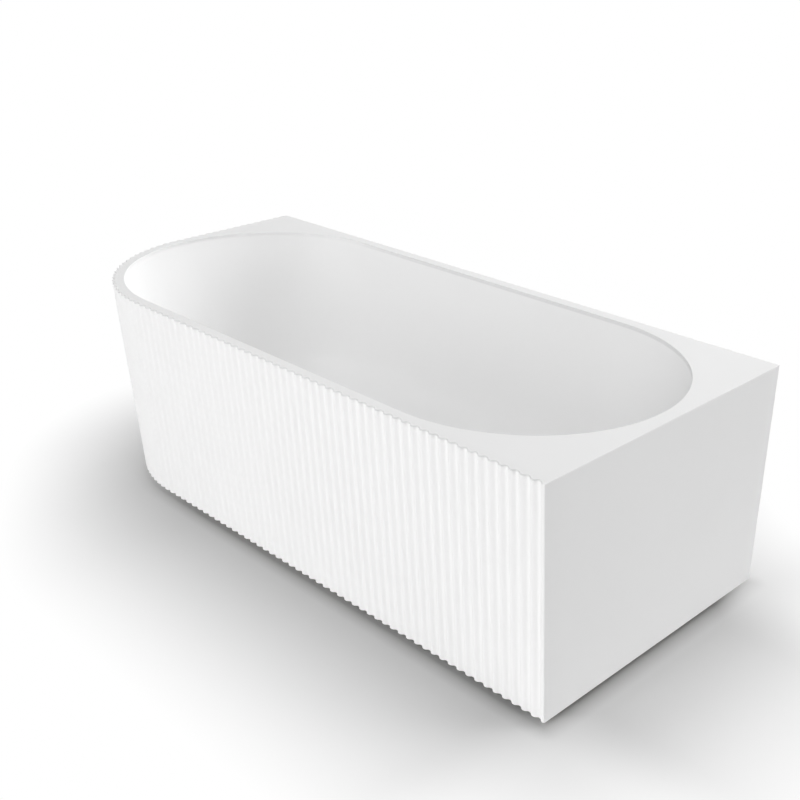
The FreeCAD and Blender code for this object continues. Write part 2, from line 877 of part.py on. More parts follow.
def main():
    os.makedirs("parts", exist_ok=True)
    save("basin_shell", basin_shell())
    whole = skirt_ring()
    save("fluted_skirt", fluted_skirt(whole))
    save("end_skirt", end_skirt(whole))
    save("back_skirt", back_skirt(whole))
    save("base_board", base_board())
    save("rim_stiffener_right_front", rim_stiffener(1, -1))
    save("rim_stiffener_right_back", rim_stiffener(1, 1))
    save("rim_stiffener_left_back", rim_stiffener(-1, 1))
    save("frame_rail_front", long_rail(-front_rail_left_end, -front_rail_offset))
    save("frame_rail_back", long_rail(-back_rail_left_end, back_rail_offset))
    half = tube_size / 2
    save("frame_cross_left", cross_tube(half - front_rail_left_end))
    inner_left, inner_right = inner_cross_places()
    save("frame_cross_inner_left", cross_tube(inner_left))
    save("frame_cross_inner_right", cross_tube(inner_right))
    save("frame_cross_right", cross_tube(rail_right_end - half))
    save("rail_end_caps", rail_end_caps())
    for name, place in zip(("right_front", "right_back", "left_back"), post_places()):
        save("rim_post_" + name, rim_post(*place))
    save("post_caps", post_caps())
    save("tie_straps", tie_straps())
    save("skirt_blocks", skirt_blocks())
    save("strap_screws", strap_screws())
    save("board_screws", board_screws())
    save("foot_weld_nuts", foot_nuts(rail_bottom))
    save("foot_lock_nuts", foot_nuts(rail_bottom - nut_height))
    for number, place in enumerate(foot_places(), start=1):
        save("foot_pad_" + str(number), foot_pad(*place))
        save("foot_stud_" + str(number), foot_stud(*place))
    save("waste_body", waste_body())
    save("waste_flange_seal", waste_flange_seal())
    save("waste_under_seal", waste_under_seal())
    save("waste_slip_washer", waste_slip_washer())
    save("waste_back_nut", waste_back_nut())
    save("plug_cartridge", plug_cartridge())
    save("plug_spring", plug_spring())
    save("plug_stem", plug_stem())
    save("plug_cap", plug_cap())
    save("plug_cap_seal", plug_cap_seal())


main()
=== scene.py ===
# Back-to-wall corner bath with a fluted skirt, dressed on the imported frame; metres, +X to the square end
import bpy
import bmesh
import json
from functools import partial
from math import ceil, cos, floor, hypot, pi, radians, sin, sqrt, tan
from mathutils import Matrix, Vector, geometry


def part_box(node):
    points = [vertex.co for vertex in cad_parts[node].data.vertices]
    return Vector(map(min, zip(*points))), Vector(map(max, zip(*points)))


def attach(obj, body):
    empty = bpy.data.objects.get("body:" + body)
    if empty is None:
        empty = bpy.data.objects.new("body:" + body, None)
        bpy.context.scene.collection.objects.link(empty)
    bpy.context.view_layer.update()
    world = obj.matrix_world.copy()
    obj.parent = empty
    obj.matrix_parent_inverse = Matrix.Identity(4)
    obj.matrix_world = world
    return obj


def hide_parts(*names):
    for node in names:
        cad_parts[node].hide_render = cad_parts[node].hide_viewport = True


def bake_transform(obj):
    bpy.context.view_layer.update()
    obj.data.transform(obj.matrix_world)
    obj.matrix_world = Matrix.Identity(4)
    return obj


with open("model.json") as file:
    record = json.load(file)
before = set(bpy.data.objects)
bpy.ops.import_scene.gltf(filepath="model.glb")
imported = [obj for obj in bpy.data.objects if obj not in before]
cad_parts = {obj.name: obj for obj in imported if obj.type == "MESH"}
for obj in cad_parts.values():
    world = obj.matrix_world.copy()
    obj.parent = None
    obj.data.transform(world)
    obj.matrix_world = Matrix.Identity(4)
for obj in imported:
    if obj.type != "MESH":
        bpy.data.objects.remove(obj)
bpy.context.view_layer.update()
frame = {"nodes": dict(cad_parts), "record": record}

print("frame loaded:", len(frame["nodes"]), "nodes")

nodes = frame["nodes"]
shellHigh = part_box("basin_shell")[1]
endLow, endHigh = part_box("end_skirt")
backLow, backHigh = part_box("back_skirt")

# The outside: a rectangle with one round corner, fluted along the front, the corner and the short end
outside = {
    "cornerRadius": 0.390, "lean": 0.040, "pitch": 0.0252, "depth": 0.006, "firstCrest": 0.0043,
    "wall": 0.005, "arris": 0.0013, "cornerRound": 0.0022, "skirtArris": 0.0012, "guard": 0.0003,
    "stepsPerFlute": 12, "arrisSteps": 5, "cornerSteps": 6, "longSteps": 28, "endSteps": 13,
}
halfLength, halfWidth, rim = shellHigh.x, shellHigh.y, shellHigh.z
foot, deckFoot = endLow.z, endHigh.z
cornerX = outside["cornerRadius"] - halfLength
cornerY = outside["cornerRadius"] - halfWidth
frontRun = halfLength - cornerX
cornerRun = outside["cornerRadius"] * pi / 2
sideRun = frontRun + cornerRun + halfWidth - cornerY


def collectionOf(name):
    made = bpy.data.collections.new(name)
    bpy.context.scene.collection.children.link(made)
    return made


dressed = collectionOf("dressed")
studio = collectionOf("studio")


# Node helpers

# apart by less than this counts as one place: in the rules, in meshes, and for the ends of an edge
weldDistance, mergeDistance, noLength = 1e-5, 1e-6, 1e-7


def value(word):
    # a word that a socket takes as it is
    return (word,)


def addNode(tree, name, kind, feeds=None, **settings):
    # kind is the node's type without its head; a list feeds the first sockets, a dictionary those it names,
    # each with a value, a #colour, a Field, or "node" or "node.output" of an earlier node
    heads = ("GeometryNode", "ShaderNode", "") if tree.bl_idname == "GeometryNodeTree" else ("ShaderNode",)
    made = tree.nodes.new(next(head + kind for head in heads if hasattr(bpy.types, head + kind)))
    made.name = made.label = name
    for key, setting in settings.items():
        setattr(made, key, setting)
    if isinstance(feeds, list):
        feeds = dict(enumerate(feeds))
    for key, fed in (feeds or {}).items():
        if isinstance(fed, Field):
            tree.links.new(fed.output, made.inputs[key])
        elif isinstance(fed, str) and not fed.startswith("#"):
            source, _, output = fed.partition(".")
            output = int(output) if output.isdigit() else output or 0
            tree.links.new(tree.nodes[source].outputs[output], made.inputs[key])
        elif isinstance(fed, str):
            made.inputs[key].default_value = linear(fed)
        else:
            made.inputs[key].default_value = fed[0] if isinstance(fed, tuple) and len(fed) == 1 else fed
    return Field(made.outputs[0]) if made.outputs else None


class Field:
    # a node's output; a name in brackets gives its node's other outputs
    def __init__(self, output):
        self.output = output

    def __getitem__(self, name):
        return Field(self.output.node.outputs[name])

    def __rsub__(self, other):
        return calc("SUBTRACT", other, self)


def calc(operation, *parts):
    tree = next(part.output.id_data for part in parts if isinstance(part, Field))
    return addNode(tree, operation.lower(), "Math", list(parts), operation=operation)


# a sign between two of them adds a math node
signs = {"add": "ADD", "sub": "SUBTRACT", "mul": "MULTIPLY", "truediv": "DIVIDE", "mod": "MODULO",
         "lt": "LESS_THAN", "gt": "GREATER_THAN"}
for sign, operation in signs.items():
    setattr(Field, f"__{sign}__", lambda self, other, operation=operation: calc(operation, self, other))


def linear(code):
    # sRGB hex to a linear colour
    parts = [int(code[i:i + 2], 16) / 255 for i in (1, 3, 5)]
    return tuple(p / 12.92 if p <= 0.04045 else ((p + 0.055) / 1.055) ** 2.4 for p in parts) + (1.0,)


def per(size):
    # pattern scale for a feature of this size in metres
    return 1 / size


def openMaterial(name):
    made = bpy.data.materials.new(name)
    made.use_nodes = True
    made.node_tree.nodes.clear()
    add = partial(addNode, made.node_tree)
    add("place", "TexCoord")
    return made, add


def closeMaterial(add, shader):
    add("surface", "BsdfPrincipled", shader)
    add("out", "OutputMaterial", {"Surface": "surface.BSDF"})


# Materials

acrylic = {
    "bright": "#F7F7F7", "shade": "#F4F4F4", "drift": 0.35, "wave": 0.045, "waveHeight": 0.00001,
    "peel": 0.0025, "peelHeight": 0.000006, "wipe": 0.16, "wiped": (0.3, 0.7), "gloss": (0.50, 0.60),
    # the last grey is painted shade: it is mixed into the white for a thin line round the lip and along the
    # fluted deck edge
    "film": "#CECECE", "spread": 0.5,
}


def castAcrylic():
    # Cast acrylic sheet, vacuum formed: clean white, satin, with the faint waves of a heated sheet
    made, add = openMaterial("cast_acrylic")
    a = acrylic
    for name, detail in (("drift", 2.0), ("wipe", 5.0), ("wave", 1.0), ("peel", 2.0)):
        add(name, "TexNoise", {"Vector": "place.Object", "Scale": per(a[name]), "Detail": detail})
    add("tint", "Mix", {0: "drift", 6: a["bright"], 7: a["shade"]}, data_type="RGBA")
    # wiping and cleaning leave the gloss a little uneven
    add("gloss", "MapRange", ["wipe", *a["wiped"], *a["gloss"]])
    add("waves", "Bump", {"Height": "wave", "Distance": a["waveHeight"], "Strength": 1.0})
    add("skin", "Bump", {"Height": "peel", "Distance": a["peelHeight"], "Normal": "waves"})
    # painted shade: a point attribute mixes the grey in along the lip and the fluted deck edge, for the thin
    # shade line there
    add("held", "Attribute", {}, attribute_name="film")
    add("filmed", "Mix", {0: "held.Fac", 6: "tint.2", 7: a["film"]}, data_type="RGBA")
    # light spreads a little inside the white sheet: the flutes shade as if they were shallower
    add("path", "Attribute", {}, attribute_name="facing")
    add("turned", "VectorTransform", ["path.Vector"],
        vector_type="VECTOR", convert_from="OBJECT", convert_to="WORLD")
    add("spread", "VectorMath", ["turned", (a["spread"],) * 3, "skin"], operation="MULTIPLY_ADD")
    add("eased", "VectorMath", ["spread"], operation="NORMALIZE")
    closeMaterial(add, {"Base Color": "filmed.2", "Roughness": "gloss", "Normal": "eased", "IOR": 1.49})
    return made


resin = {
    "light": "#D9CFB2", "dark": "#B9AB86", "lump": 0.09, "strand": 0.018, "strandHeight": 0.0004,
    "strandShows": (0.42, 0.58),
}


def glassFibreResin():
    # Chopped glass strands rolled down in polyester resin: straw-coloured, lumpy, with short pale fibres
    made, add = openMaterial("glass_fibre_resin")
    r = resin
    add("lump", "TexNoise", {"Vector": "place.Object", "Scale": per(r["lump"]), "Detail": 4.0})
    strand = {"Vector": "place.Object", "Scale": per(r["strand"]), "Detail": 3.0, "Distortion": 3.0}
    add("strand", "TexNoise", strand)
    add("fibre", "MapRange", ["strand", *r["strandShows"]])
    add("mat", "Math", ["fibre", "lump"], operation="MULTIPLY")
    add("tint", "Mix", {0: "mat", 6: r["dark"], 7: r["light"]}, data_type="RGBA")
    add("relief", "Bump", {"Height": "fibre", "Distance": r["strandHeight"], "Strength": 0.8})
    closeMaterial(add, {"Base Color": "tint.2", "Roughness": 0.42, "IOR": 1.55, "Normal": "relief"})
    return made


plywood = {
    "pale": "#D8BC8E", "deep": "#B98F5C", "core": "#A77C4B", "figure": 0.014, "stretch": 14.0, "ply": 0.0014,
    "plyShows": (-0.3, 0.3), "pore": 0.0002, "steep": 0.5,
}


def birchPlywood():
    # Birch plywood, sanded: long faint grain on the faces, light and dark plies on the edges
    made, add = openMaterial("birch_plywood")
    p = plywood
    add("along", "Mapping", {"Vector": "place.Object", "Scale": (1 / p["stretch"], 1.0, 1.0)})
    add("grain", "TexNoise", {"Vector": "along", "Scale": per(p["figure"]), "Detail": 6.0, "Distortion": 0.6})
    add("face", "Mix", {0: "grain", 6: p["pale"], 7: p["deep"]}, data_type="RGBA")
    # the edge's layers follow the height; a face is what looks up or down
    layers = add("parts", "SeparateXYZ", ["place.Object"])["Z"] * (pi / p["ply"])
    add("ply", "MapRange", [calc("SINE", layers), *p["plyShows"]])
    add("edge", "Mix", {0: "ply", 6: p["core"], 7: p["pale"]}, data_type="RGBA")
    add("facing", "NewGeometry")
    tilt = add("tilt", "SeparateXYZ", ["facing.Normal"])["Z"]
    isFace = calc("ABSOLUTE", tilt) > p["steep"]
    add("wood", "Mix", {0: isFace, 6: "edge.2", 7: "face.2"}, data_type="RGBA")
    add("pores", "Bump", {"Height": "grain", "Distance": p["pore"], "Strength": 0.5})
    closeMaterial(add, {"Base Color": "wood.2", "Roughness": 0.62, "Normal": "pores"})
    return made


# Metals and plastics: light and dark colour, metallic, roughness range, pattern, its size and its depth
finishes = {
    # hot-dip galvanised steel: grey zinc crystals a centimetre across
    "galvanised_steel": ("#C9CDCF", "#A9AFB3", 1.0, (0.34, 0.58), "crystals", 0.011, 0.00003),
    # bright zinc plating: bluish silver with a fine bloom
    "zinc_plated_steel": ("#D3D8DC", "#B8C0C8", 1.0, (0.22, 0.40), "cloud", 0.004, 0.00001),
    # drawn stainless steel: fine lines round the bar
    "stainless_steel": ("#CFCBC6", "#B5B0AA", 1.0, (0.18, 0.32), "lines", 0.0006, 0.00001),
    # polished chrome plate: near mirror, with wipe marks
    "chrome": ("#E6E8EA", "#DDE0E3", 1.0, (0.05, 0.11), "cloud", 0.012, 0.000002),
    # turned brass: warm yellow with tool lines
    "brass": ("#D1AE63", "#B48F45", 1.0, (0.20, 0.34), "lines", 0.0008, 0.00002),
    # moulded polypropylene, black: fine grain from the tool
    "black_plastic": ("#1C1C1D", "#121213", 0.0, (0.46, 0.62), "cloud", 0.0012, 0.00003),
    # moulded acetal, white: a soft even sheen
    "white_plastic": ("#ECEAE4", "#E2E0D9", 0.0, (0.34, 0.48), "cloud", 0.0015, 0.00002),
    # moulded rubber: dull, with a grey bloom
    "rubber": ("#2A2A29", "#191918", 0.0, (0.68, 0.86), "cloud", 0.0020, 0.00003),
}
patternNodes = {
    "crystals": ("TexVoronoi", {}, {"feature": "F1"}),
    "cloud": ("TexNoise", {"Detail": 4.0}, {}),
    "lines": ("TexNoise", {"Detail": 2.0}, {}),
}
# lines are the cloud squeezed across the bar; handling leaves marks a few centimetres wide
finishing = {"squeeze": 0.02, "shows": (0.35, 0.65), "marks": 0.03, "marked": (0.05, 0.6)}


def finished(name, light, dark, metallic, rough, pattern, size, depth):
    made, add = openMaterial(name)
    kind, fixed, settings = patternNodes[pattern]
    squeeze = finishing["squeeze"] if pattern == "lines" else 1.0
    add("along", "Mapping", {"Vector": "place.Object", "Scale": (squeeze, squeeze, 1.0)})
    add("pattern", kind, {"Vector": "along", "Scale": per(size), **fixed}, **settings)
    if pattern == "crystals":
        # each crystal has its own tone
        add("tone", "SeparateColor", ["pattern.Color"])
    else:
        add("tone", "MapRange", ["pattern", *finishing["shows"]])
    add("tint", "Mix", {0: "tone", 6: dark, 7: light}, data_type="RGBA")
    add("handling", "TexNoise", {"Vector": "place.Object", "Scale": per(finishing["marks"]), "Detail": 5.0})
    add("mixed", "Math", ["tone", "handling"], operation="MULTIPLY")
    add("gloss", "MapRange", ["mixed", *finishing["marked"], *rough])
    add("relief", "Bump", {"Height": "tone", "Distance": depth, "Strength": 1.0})
    surface = {"Base Color": "tint.2", "Roughness": "gloss", "Normal": "relief", "Metallic": metallic}
    closeMaterial(add, surface)
    return made


def fillOf(node):
    return materials[slotOf[node]]


materials = {"white_acrylic": castAcrylic(), "plywood": birchPlywood()}
materials.update({name: finished(name, *finish) for name, finish in finishes.items()})
backing = glassFibreResin()
slotOf = {row["node"]: row["material_slot"] for row in frame["record"]["subparts"]}
for name, piece in nodes.items():
    piece.data.materials.clear()
    piece.data.materials.append(fillOf(name))
print("materials made:", len(materials) + 1)


# Outline

def leanAt(level):
    return outside["lean"] * (rim - level) / (rim - foot)


def swingAt(run):
    # the wave's swing out of its middle line: circular arcs, a crest at firstCrest
    half = outside["pitch"] / 2
    rise = outside["depth"] / 2
    bend = ((half / 2) ** 2 + rise ** 2) / (2 * rise)
    wave = round((run - outside["firstCrest"]) / half)
    along = run - outside["firstCrest"] - wave * half
    swing = sqrt(bend ** 2 - along ** 2) - (bend - rise)
    return swing if wave % 2 == 0 else -swing


def sidePoint(run, inset):
    # a point run along the side from the square front corner, set in from the overall outline
    if run <= frontRun:
        return halfLength - run, inset - halfWidth
    if run <= frontRun + cornerRun:
        turn = (run - frontRun) / outside["cornerRadius"]
        reach = outside["cornerRadius"] - inset
        return cornerX - reach * sin(turn), cornerY - reach * cos(turn)
    return inset - halfLength, cornerY + run - frontRun - cornerRun


def wavePoint(run, level):
    return sidePoint(run, leanAt(level) + outside["depth"] / 2 - swingAt(run))


def runsBetween(low, high):
    step = outside["pitch"] / outside["stepsPerFlute"]
    first = ceil((low + outside["guard"] - outside["firstCrest"]) / step)
    last = floor((high - outside["guard"] - outside["firstCrest"]) / step)
    inner = [outside["firstCrest"] + count * step for count in range(first, last + 1)]
    return [low] + inner + [high]


def roundCorner(centreX, centreY, start):
    # a quarter circle turned clockwise from start degrees
    points = []
    for step in range(outside["cornerSteps"] + 1):
        angle = radians(start - 90 * step / outside["cornerSteps"])
        points.append((centreX + outside["cornerRound"] * cos(angle),
                       centreY + outside["cornerRound"] * sin(angle)))
    return points


def joined(a, b, count):
    # points strictly between two places
    return [(a[0] + (b[0] - a[0]) * k / count, a[1] + (b[1] - a[1]) * k / count) for k in range(1, count)]


def deckOutline(level):
    # the whole outline at a level, clockwise from the square front corner
    r = outside["cornerRound"]
    side = [wavePoint(run, level) for run in runsBetween(r, sideRun - r)]
    backLeft = roundCorner(side[-1][0] + r, halfWidth - r, 180)
    backRight = roundCorner(halfLength - r, halfWidth - r, 90)
    frontRight = roundCorner(halfLength - r, side[0][1] + r, 0)
    points = side + backLeft[1:] + joined(backLeft[-1], backRight[0], outside["longSteps"]) + backRight
    return points + joined(backRight[-1], frontRight[0], outside["endSteps"]) + frontRight[:-1]


def setIn(points, distance):
    # a clockwise outline moved inwards along its normals
    moved = []
    for index, (x, y) in enumerate(points):
        before = points[index - 1]
        after = points[(index + 1) % len(points)]
        dx, dy = after[0] - before[0], after[1] - before[1]
        size = hypot(dx, dy)
        moved.append((x + dy / size * distance, y - dx / size * distance))
    return moved


# Bowl

bowl = {
    "side": 0.031, "left": 0.029, "right": 0.033, "floor": 0.120,
    "sideSlope": 8.0, "endSlope": 22.0, "blend": 0.140, "wall": 0.008,
    "lipHeight": 0.008, "lipRadius": 0.0012, "lipEase": 0.0012, "lipTuck": 0.0008, "tuckRun": 0.2,
    # painted shade: the grey's share at the lip and at the fluted deck edge, the run that keeps it off near
    # the left end, how far below the lip it fades, and the band under the arris
    "lipFilm": 0.36, "rimFilm": 0.45, "filmRun": 0.30, "filmFade": 0.003, "edgeFilm": 0.0018,
    "wallRows": 8, "blendRows": 28, "lipSteps": 5, "arcSteps": 64, "straightSteps": 24,
    "recess": 0.038, "recessEdge": 0.001, "recessDepth": 0.0025, "hole": 0.026,
    "floorShares": (0.12, 0.3, 0.5, 0.7, 0.86, 0.96),
}
bowlX = ((bowl["left"] - halfLength) + (halfLength - bowl["right"])) / 2
bowlHalfLength = halfLength - (bowl["left"] + bowl["right"]) / 2
bowlHalfWidth = halfWidth - bowl["side"]
lipFoot = rim - bowl["lipHeight"]


def wallInset(level, slope, outset):
    # how far a wall has come in at a level: a slope, then an arc that ends flat at the floor
    angle = radians(slope)
    centre = bowl["floor"] + bowl["blend"]
    reach = bowl["blend"] + outset
    touch = centre - bowl["blend"] * sin(angle)
    centreIn = (lipFoot - touch) * tan(angle) + bowl["blend"] * cos(angle)
    if level >= centre - reach * sin(angle):
        return (lipFoot - level) * tan(angle) - outset / cos(angle)
    drop = min(reach, centre - level)
    return centreIn - sqrt(reach * reach - drop * drop)


def stadium(sideIn, endIn):
    # anticlockwise from the middle of the right-hand end's lower quarter
    radius = bowlHalfWidth - sideIn
    straight = bowlHalfLength - endIn - radius
    points = []
    for side in (1, -1):
        for step in range(bowl["arcSteps"]):
            angle = pi * (step / bowl["arcSteps"] - 0.5)
            points.append((bowlX + side * (straight + radius * cos(angle)), side * radius * sin(angle)))
        for step in range(bowl["straightSteps"]):
            share = 1 - 2 * step / bowl["straightSteps"]
            points.append((bowlX + side * straight * share, side * radius))
    return points


def bowlRow(level, outset):
    return stadium(wallInset(level, bowl["sideSlope"], outset), wallInset(level, bowl["endSlope"], outset))


def bowlLevels(top, outset):
    angle = radians(bowl["sideSlope"])
    reach = bowl["blend"] + outset
    centre = bowl["floor"] + bowl["blend"]
    touch = centre - reach * sin(angle)
    levels = [top + (touch - top) * row / bowl["wallRows"] for row in range(bowl["wallRows"])]
    for row in range(bowl["blendRows"] + 1):
        levels.append(centre - reach * sin(angle + (pi / 2 - angle) * row / bowl["blendRows"]))
    return levels


def drainRing(radius):
    # a circle about the waste with one point for each point of the bowl's floor
    floorLine = bowlRow(bowl["floor"], 0)
    ring = []
    for x, y in floorLine:
        size = hypot(x - bowlX, y)
        ring.append((bowlX + (x - bowlX) / size * radius, y / size * radius))
    return ring


def between(a, b, share):
    return [(p[0] + (q[0] - p[0]) * share, p[1] + (q[1] - p[1]) * share) for p, q in zip(a, b)]


class Skin:
    # rows of points joined into one closed mesh
    def __init__(self):
        self.points = []
        # each point's share of the painted shade grey
        self.paintedShades = []
        self.faces = []
        self.tags = []

    def row(self, flat, level, paintedShades=None):
        start = len(self.points)
        self.points += [(x, y, level) for x, y in flat]
        self.paintedShades += paintedShades or [0.0] * len(flat)
        return list(range(start, len(self.points)))

    def bridge(self, low, high, tag=0):
        for index in range(len(low)):
            after = (index + 1) % len(low)
            self.faces.append((low[index], low[after], high[after], high[index]))
            self.tags.append(tag)

    def chain(self, rows, tag=0):
        for low, high in zip(rows, rows[1:]):
            self.bridge(low, high, tag)

    def plate(self, outer, inner, tag=0):
        # a flat sheet between two outlines
        ids = outer + inner
        rings = [[Vector(self.points[i]) for i in ring] for ring in (outer, inner)]
        for a, b, c in geometry.tessellate_polygon(rings):
            self.faces.append((ids[a], ids[b], ids[c]))
            self.tags.append(tag)

    def cap(self, ring, tag=0):
        self.faces.append(tuple(ring))
        self.tags.append(tag)

    def plain(self):
        mesh = bpy.data.meshes.new("skin")
        mesh.from_pydata(self.points, [], self.faces)
        if any(self.paintedShades):
            mesh.attributes.new("film", "FLOAT", "POINT").data.foreach_set("value", self.paintedShades)
        return mesh

    def build(self, name, fills, sharp=40):
        mesh = self.plain()
        for fill in fills:
            mesh.materials.append(fill)
        for face, tag in zip(mesh.polygons, self.tags):
            face.material_index = tag
        return finishMesh(name, mesh, sharp)


def finishMesh(name, mesh, sharp=40):
    # faces outwards, smooth but for edges sharper than the angle
    work = bmesh.new()
    work.from_mesh(mesh)
    bmesh.ops.remove_doubles(work, verts=work.verts, dist=mergeDistance)
    bmesh.ops.dissolve_degenerate(work, dist=noLength, edges=work.edges)
    bmesh.ops.delete(work, geom=[edge for edge in work.edges if not edge.link_faces], context="EDGES")
    bmesh.ops.recalc_face_normals(work, faces=work.faces)
    work.to_mesh(mesh)
    work.free()
    mesh.name = name
    mesh.shade_smooth()
    mesh.set_sharp_from_angle(angle=radians(sharp))
    piece = bpy.data.objects.new(name, mesh)
    dressed.objects.link(piece)
    return piece


def stand(piece, node, body="bath"):
    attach(piece, body)
    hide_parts(node)
    return piece


def paintedShadeAlong(outline):
    # painted shade: a grey line along the deck's edge where the flutes run, not along the back or the square
    # end
    return [bowl["rimFilm"] if x < endLow.x and y < halfWidth - bowl["side"] / 2 else 0.0 for x, y in outline]


def makeBasin():
    skin = Skin()
    o, b = outside, bowl
    # the deck's edge, up and round its arris
    # painted shade: a grey band from just below the arris up round it, along the fluted edge
    shadeFoot = rim - o["arris"] - b["edgeFilm"]
    edge = [skin.row(deckOutline(level), level) for level in (deckFoot, shadeFoot - o["guard"])]
    edge.append(skin.row(deckOutline(shadeFoot), shadeFoot, paintedShadeAlong(deckOutline(shadeFoot))))
    for step in range(o["arrisSteps"] + 1):
        angle = pi / 2 * step / o["arrisSteps"]
        level = rim - o["arris"] * (1 - sin(angle))
        outline = setIn(deckOutline(level), o["arris"] * (1 - cos(angle)))
        edge.append(skin.row(outline, level, paintedShadeAlong(outline)))
    edge.append(skin.row(setIn(deckOutline(rim), o["arris"] + o["guard"]), rim))
    skin.chain(edge)
    # the lip, with a painted shade line that is left off near the left end and grows beyond it, then the wall
    # down to the floor
    lipFilm = []
    for x, y in stadium(0, 0):
        fromEnd = (x + halfLength) / b["filmRun"] - 1.0
        lipFilm.append(b["lipFilm"] * min(1.0, max(0.0, fromEnd)))
    inner = [skin.row(stadium(-b["lipRadius"] - o["guard"], -b["lipRadius"] - o["guard"]), rim)]
    for step in range(b["lipSteps"] + 1):
        angle = pi / 2 * step / b["lipSteps"]
        grow = b["lipRadius"] * (sin(angle) - 1)
        inner.append(skin.row(stadium(grow, grow), rim - b["lipRadius"] * (1 - cos(angle)), lipFilm))
    # the lip is tucked in a little under its edge, which shades a thin line round the opening; painted shade
    # on the lip's rows darkens that line further
    inner.append(skin.row(stadium(-b["lipTuck"], -b["lipTuck"]), lipFoot + b["lipEase"], lipFilm))
    levels = bowlLevels(lipFoot, 0)
    for level in [levels[0], lipFoot - b["filmFade"]] + levels[1:]:
        tuck = b["lipTuck"] * max(0.0, 1 - (lipFoot - level) / b["tuckRun"])
        sideIn, endIn = wallInset(level, b["sideSlope"], 0), wallInset(level, b["endSlope"], 0)
        film = lipFilm if level == lipFoot else None
        inner.append(skin.row(stadium(sideIn - tuck, endIn - tuck), level, film))
    floorLine = bowlRow(b["floor"], 0)
    recessTop = drainRing(b["recess"] + b["recessEdge"])
    for share in b["floorShares"]:
        inner.append(skin.row(between(floorLine, recessTop, share), b["floor"]))
    inner.append(skin.row(recessTop, b["floor"]))
    dish = b["floor"] - b["recessDepth"]
    inner.append(skin.row(drainRing(b["recess"]), dish))
    inner.append(skin.row(drainRing(b["hole"]), dish))
    skin.chain(inner)
    skin.plate(edge[-1], inner[0])
    # the backing below: hole, floor, wall and the deck's underside
    under = [inner[-1], skin.row(drainRing(b["hole"]), b["floor"] - b["wall"])]
    outerFloor = bowlRow(b["floor"] - b["wall"], b["wall"])
    for share in reversed(b["floorShares"]):
        under.append(skin.row(between(outerFloor, drainRing(b["hole"]), share), b["floor"] - b["wall"]))
    for level in reversed(bowlLevels(deckFoot, b["wall"])):
        under.append(skin.row(bowlRow(level, b["wall"]), level))
    skin.chain(under, tag=1)
    skin.plate(edge[0], under[-1], tag=1)
    return stand(skin.build("bath_basin", [materials["white_acrylic"], backing]), "basin_shell")


basin = makeBasin()
print("basin:", len(basin.data.polygons), "faces")


# Fluted skirt, by rule

skirt = {
    "Half Length": halfLength, "Half Width": halfWidth, "Rim": rim, "Foot": foot, "Top": deckFoot,
    "Corner Radius": outside["cornerRadius"], "Lean": outside["lean"], "Pitch": outside["pitch"],
    "Depth": outside["depth"], "First Crest": outside["firstCrest"], "Wall": outside["wall"],
    "Edge": outside["skirtArris"], "Guard": outside["guard"],
    "Step": outside["pitch"] / outside["stepsPerFlute"],
    "Run Start": halfLength - endLow.x, "Run End": sideRun - (backHigh.y - backLow.y),
}


def newTree(name, sizes, seeded=False):
    # named inputs: seed points where it has them, a size for each value, the material
    tree = bpy.data.node_groups.new(name, "GeometryNodeTree")
    tree.interface.new_socket("Geometry", in_out="OUTPUT", socket_type="NodeSocketGeometry")
    if seeded:
        tree.interface.new_socket("Seed", in_out="INPUT", socket_type="NodeSocketGeometry")
    for label, size in sizes.items():
        kind = "NodeSocketInt" if isinstance(size, int) else "NodeSocketFloat"
        tree.interface.new_socket(label, in_out="INPUT", socket_type=kind)
    for label in ("Material", "Backing"):
        tree.interface.new_socket(label, in_out="INPUT", socket_type="NodeSocketMaterial")
    add = partial(addNode, tree)
    return tree, add("sizes", "NodeGroupInput"), add


def coatTree(add, source):
    add("real", "RealizeInstances", [source])
    add("coat", "SetMaterial", {"Geometry": "real", "Material": "sizes.Material"})
    add("result", "NodeGroupOutput", ["coat"])


def grow(name, tree, values, seed=None):
    # run a tree once and keep its result as a plain mesh
    carrier = bpy.data.objects.new(name + "_carrier", seed or bpy.data.meshes.new(name + "_seed"))
    dressed.objects.link(carrier)
    modifier = carrier.modifiers.new("rule", "NODES")
    modifier.node_group = tree
    for item in tree.interface.items_tree:
        if item.in_out == "INPUT" and item.name in values:
            modifier[item.identifier] = values[item.name]
    shown = carrier.evaluated_get(bpy.context.evaluated_depsgraph_get())
    mesh = bpy.data.meshes.new_from_object(shown)
    carrier.modifiers.remove(modifier)
    bpy.data.objects.remove(carrier)
    return mesh


# points round the skirt's section, and the columns that close each pair of ends
ringPoints = 10
guardColumns = 3


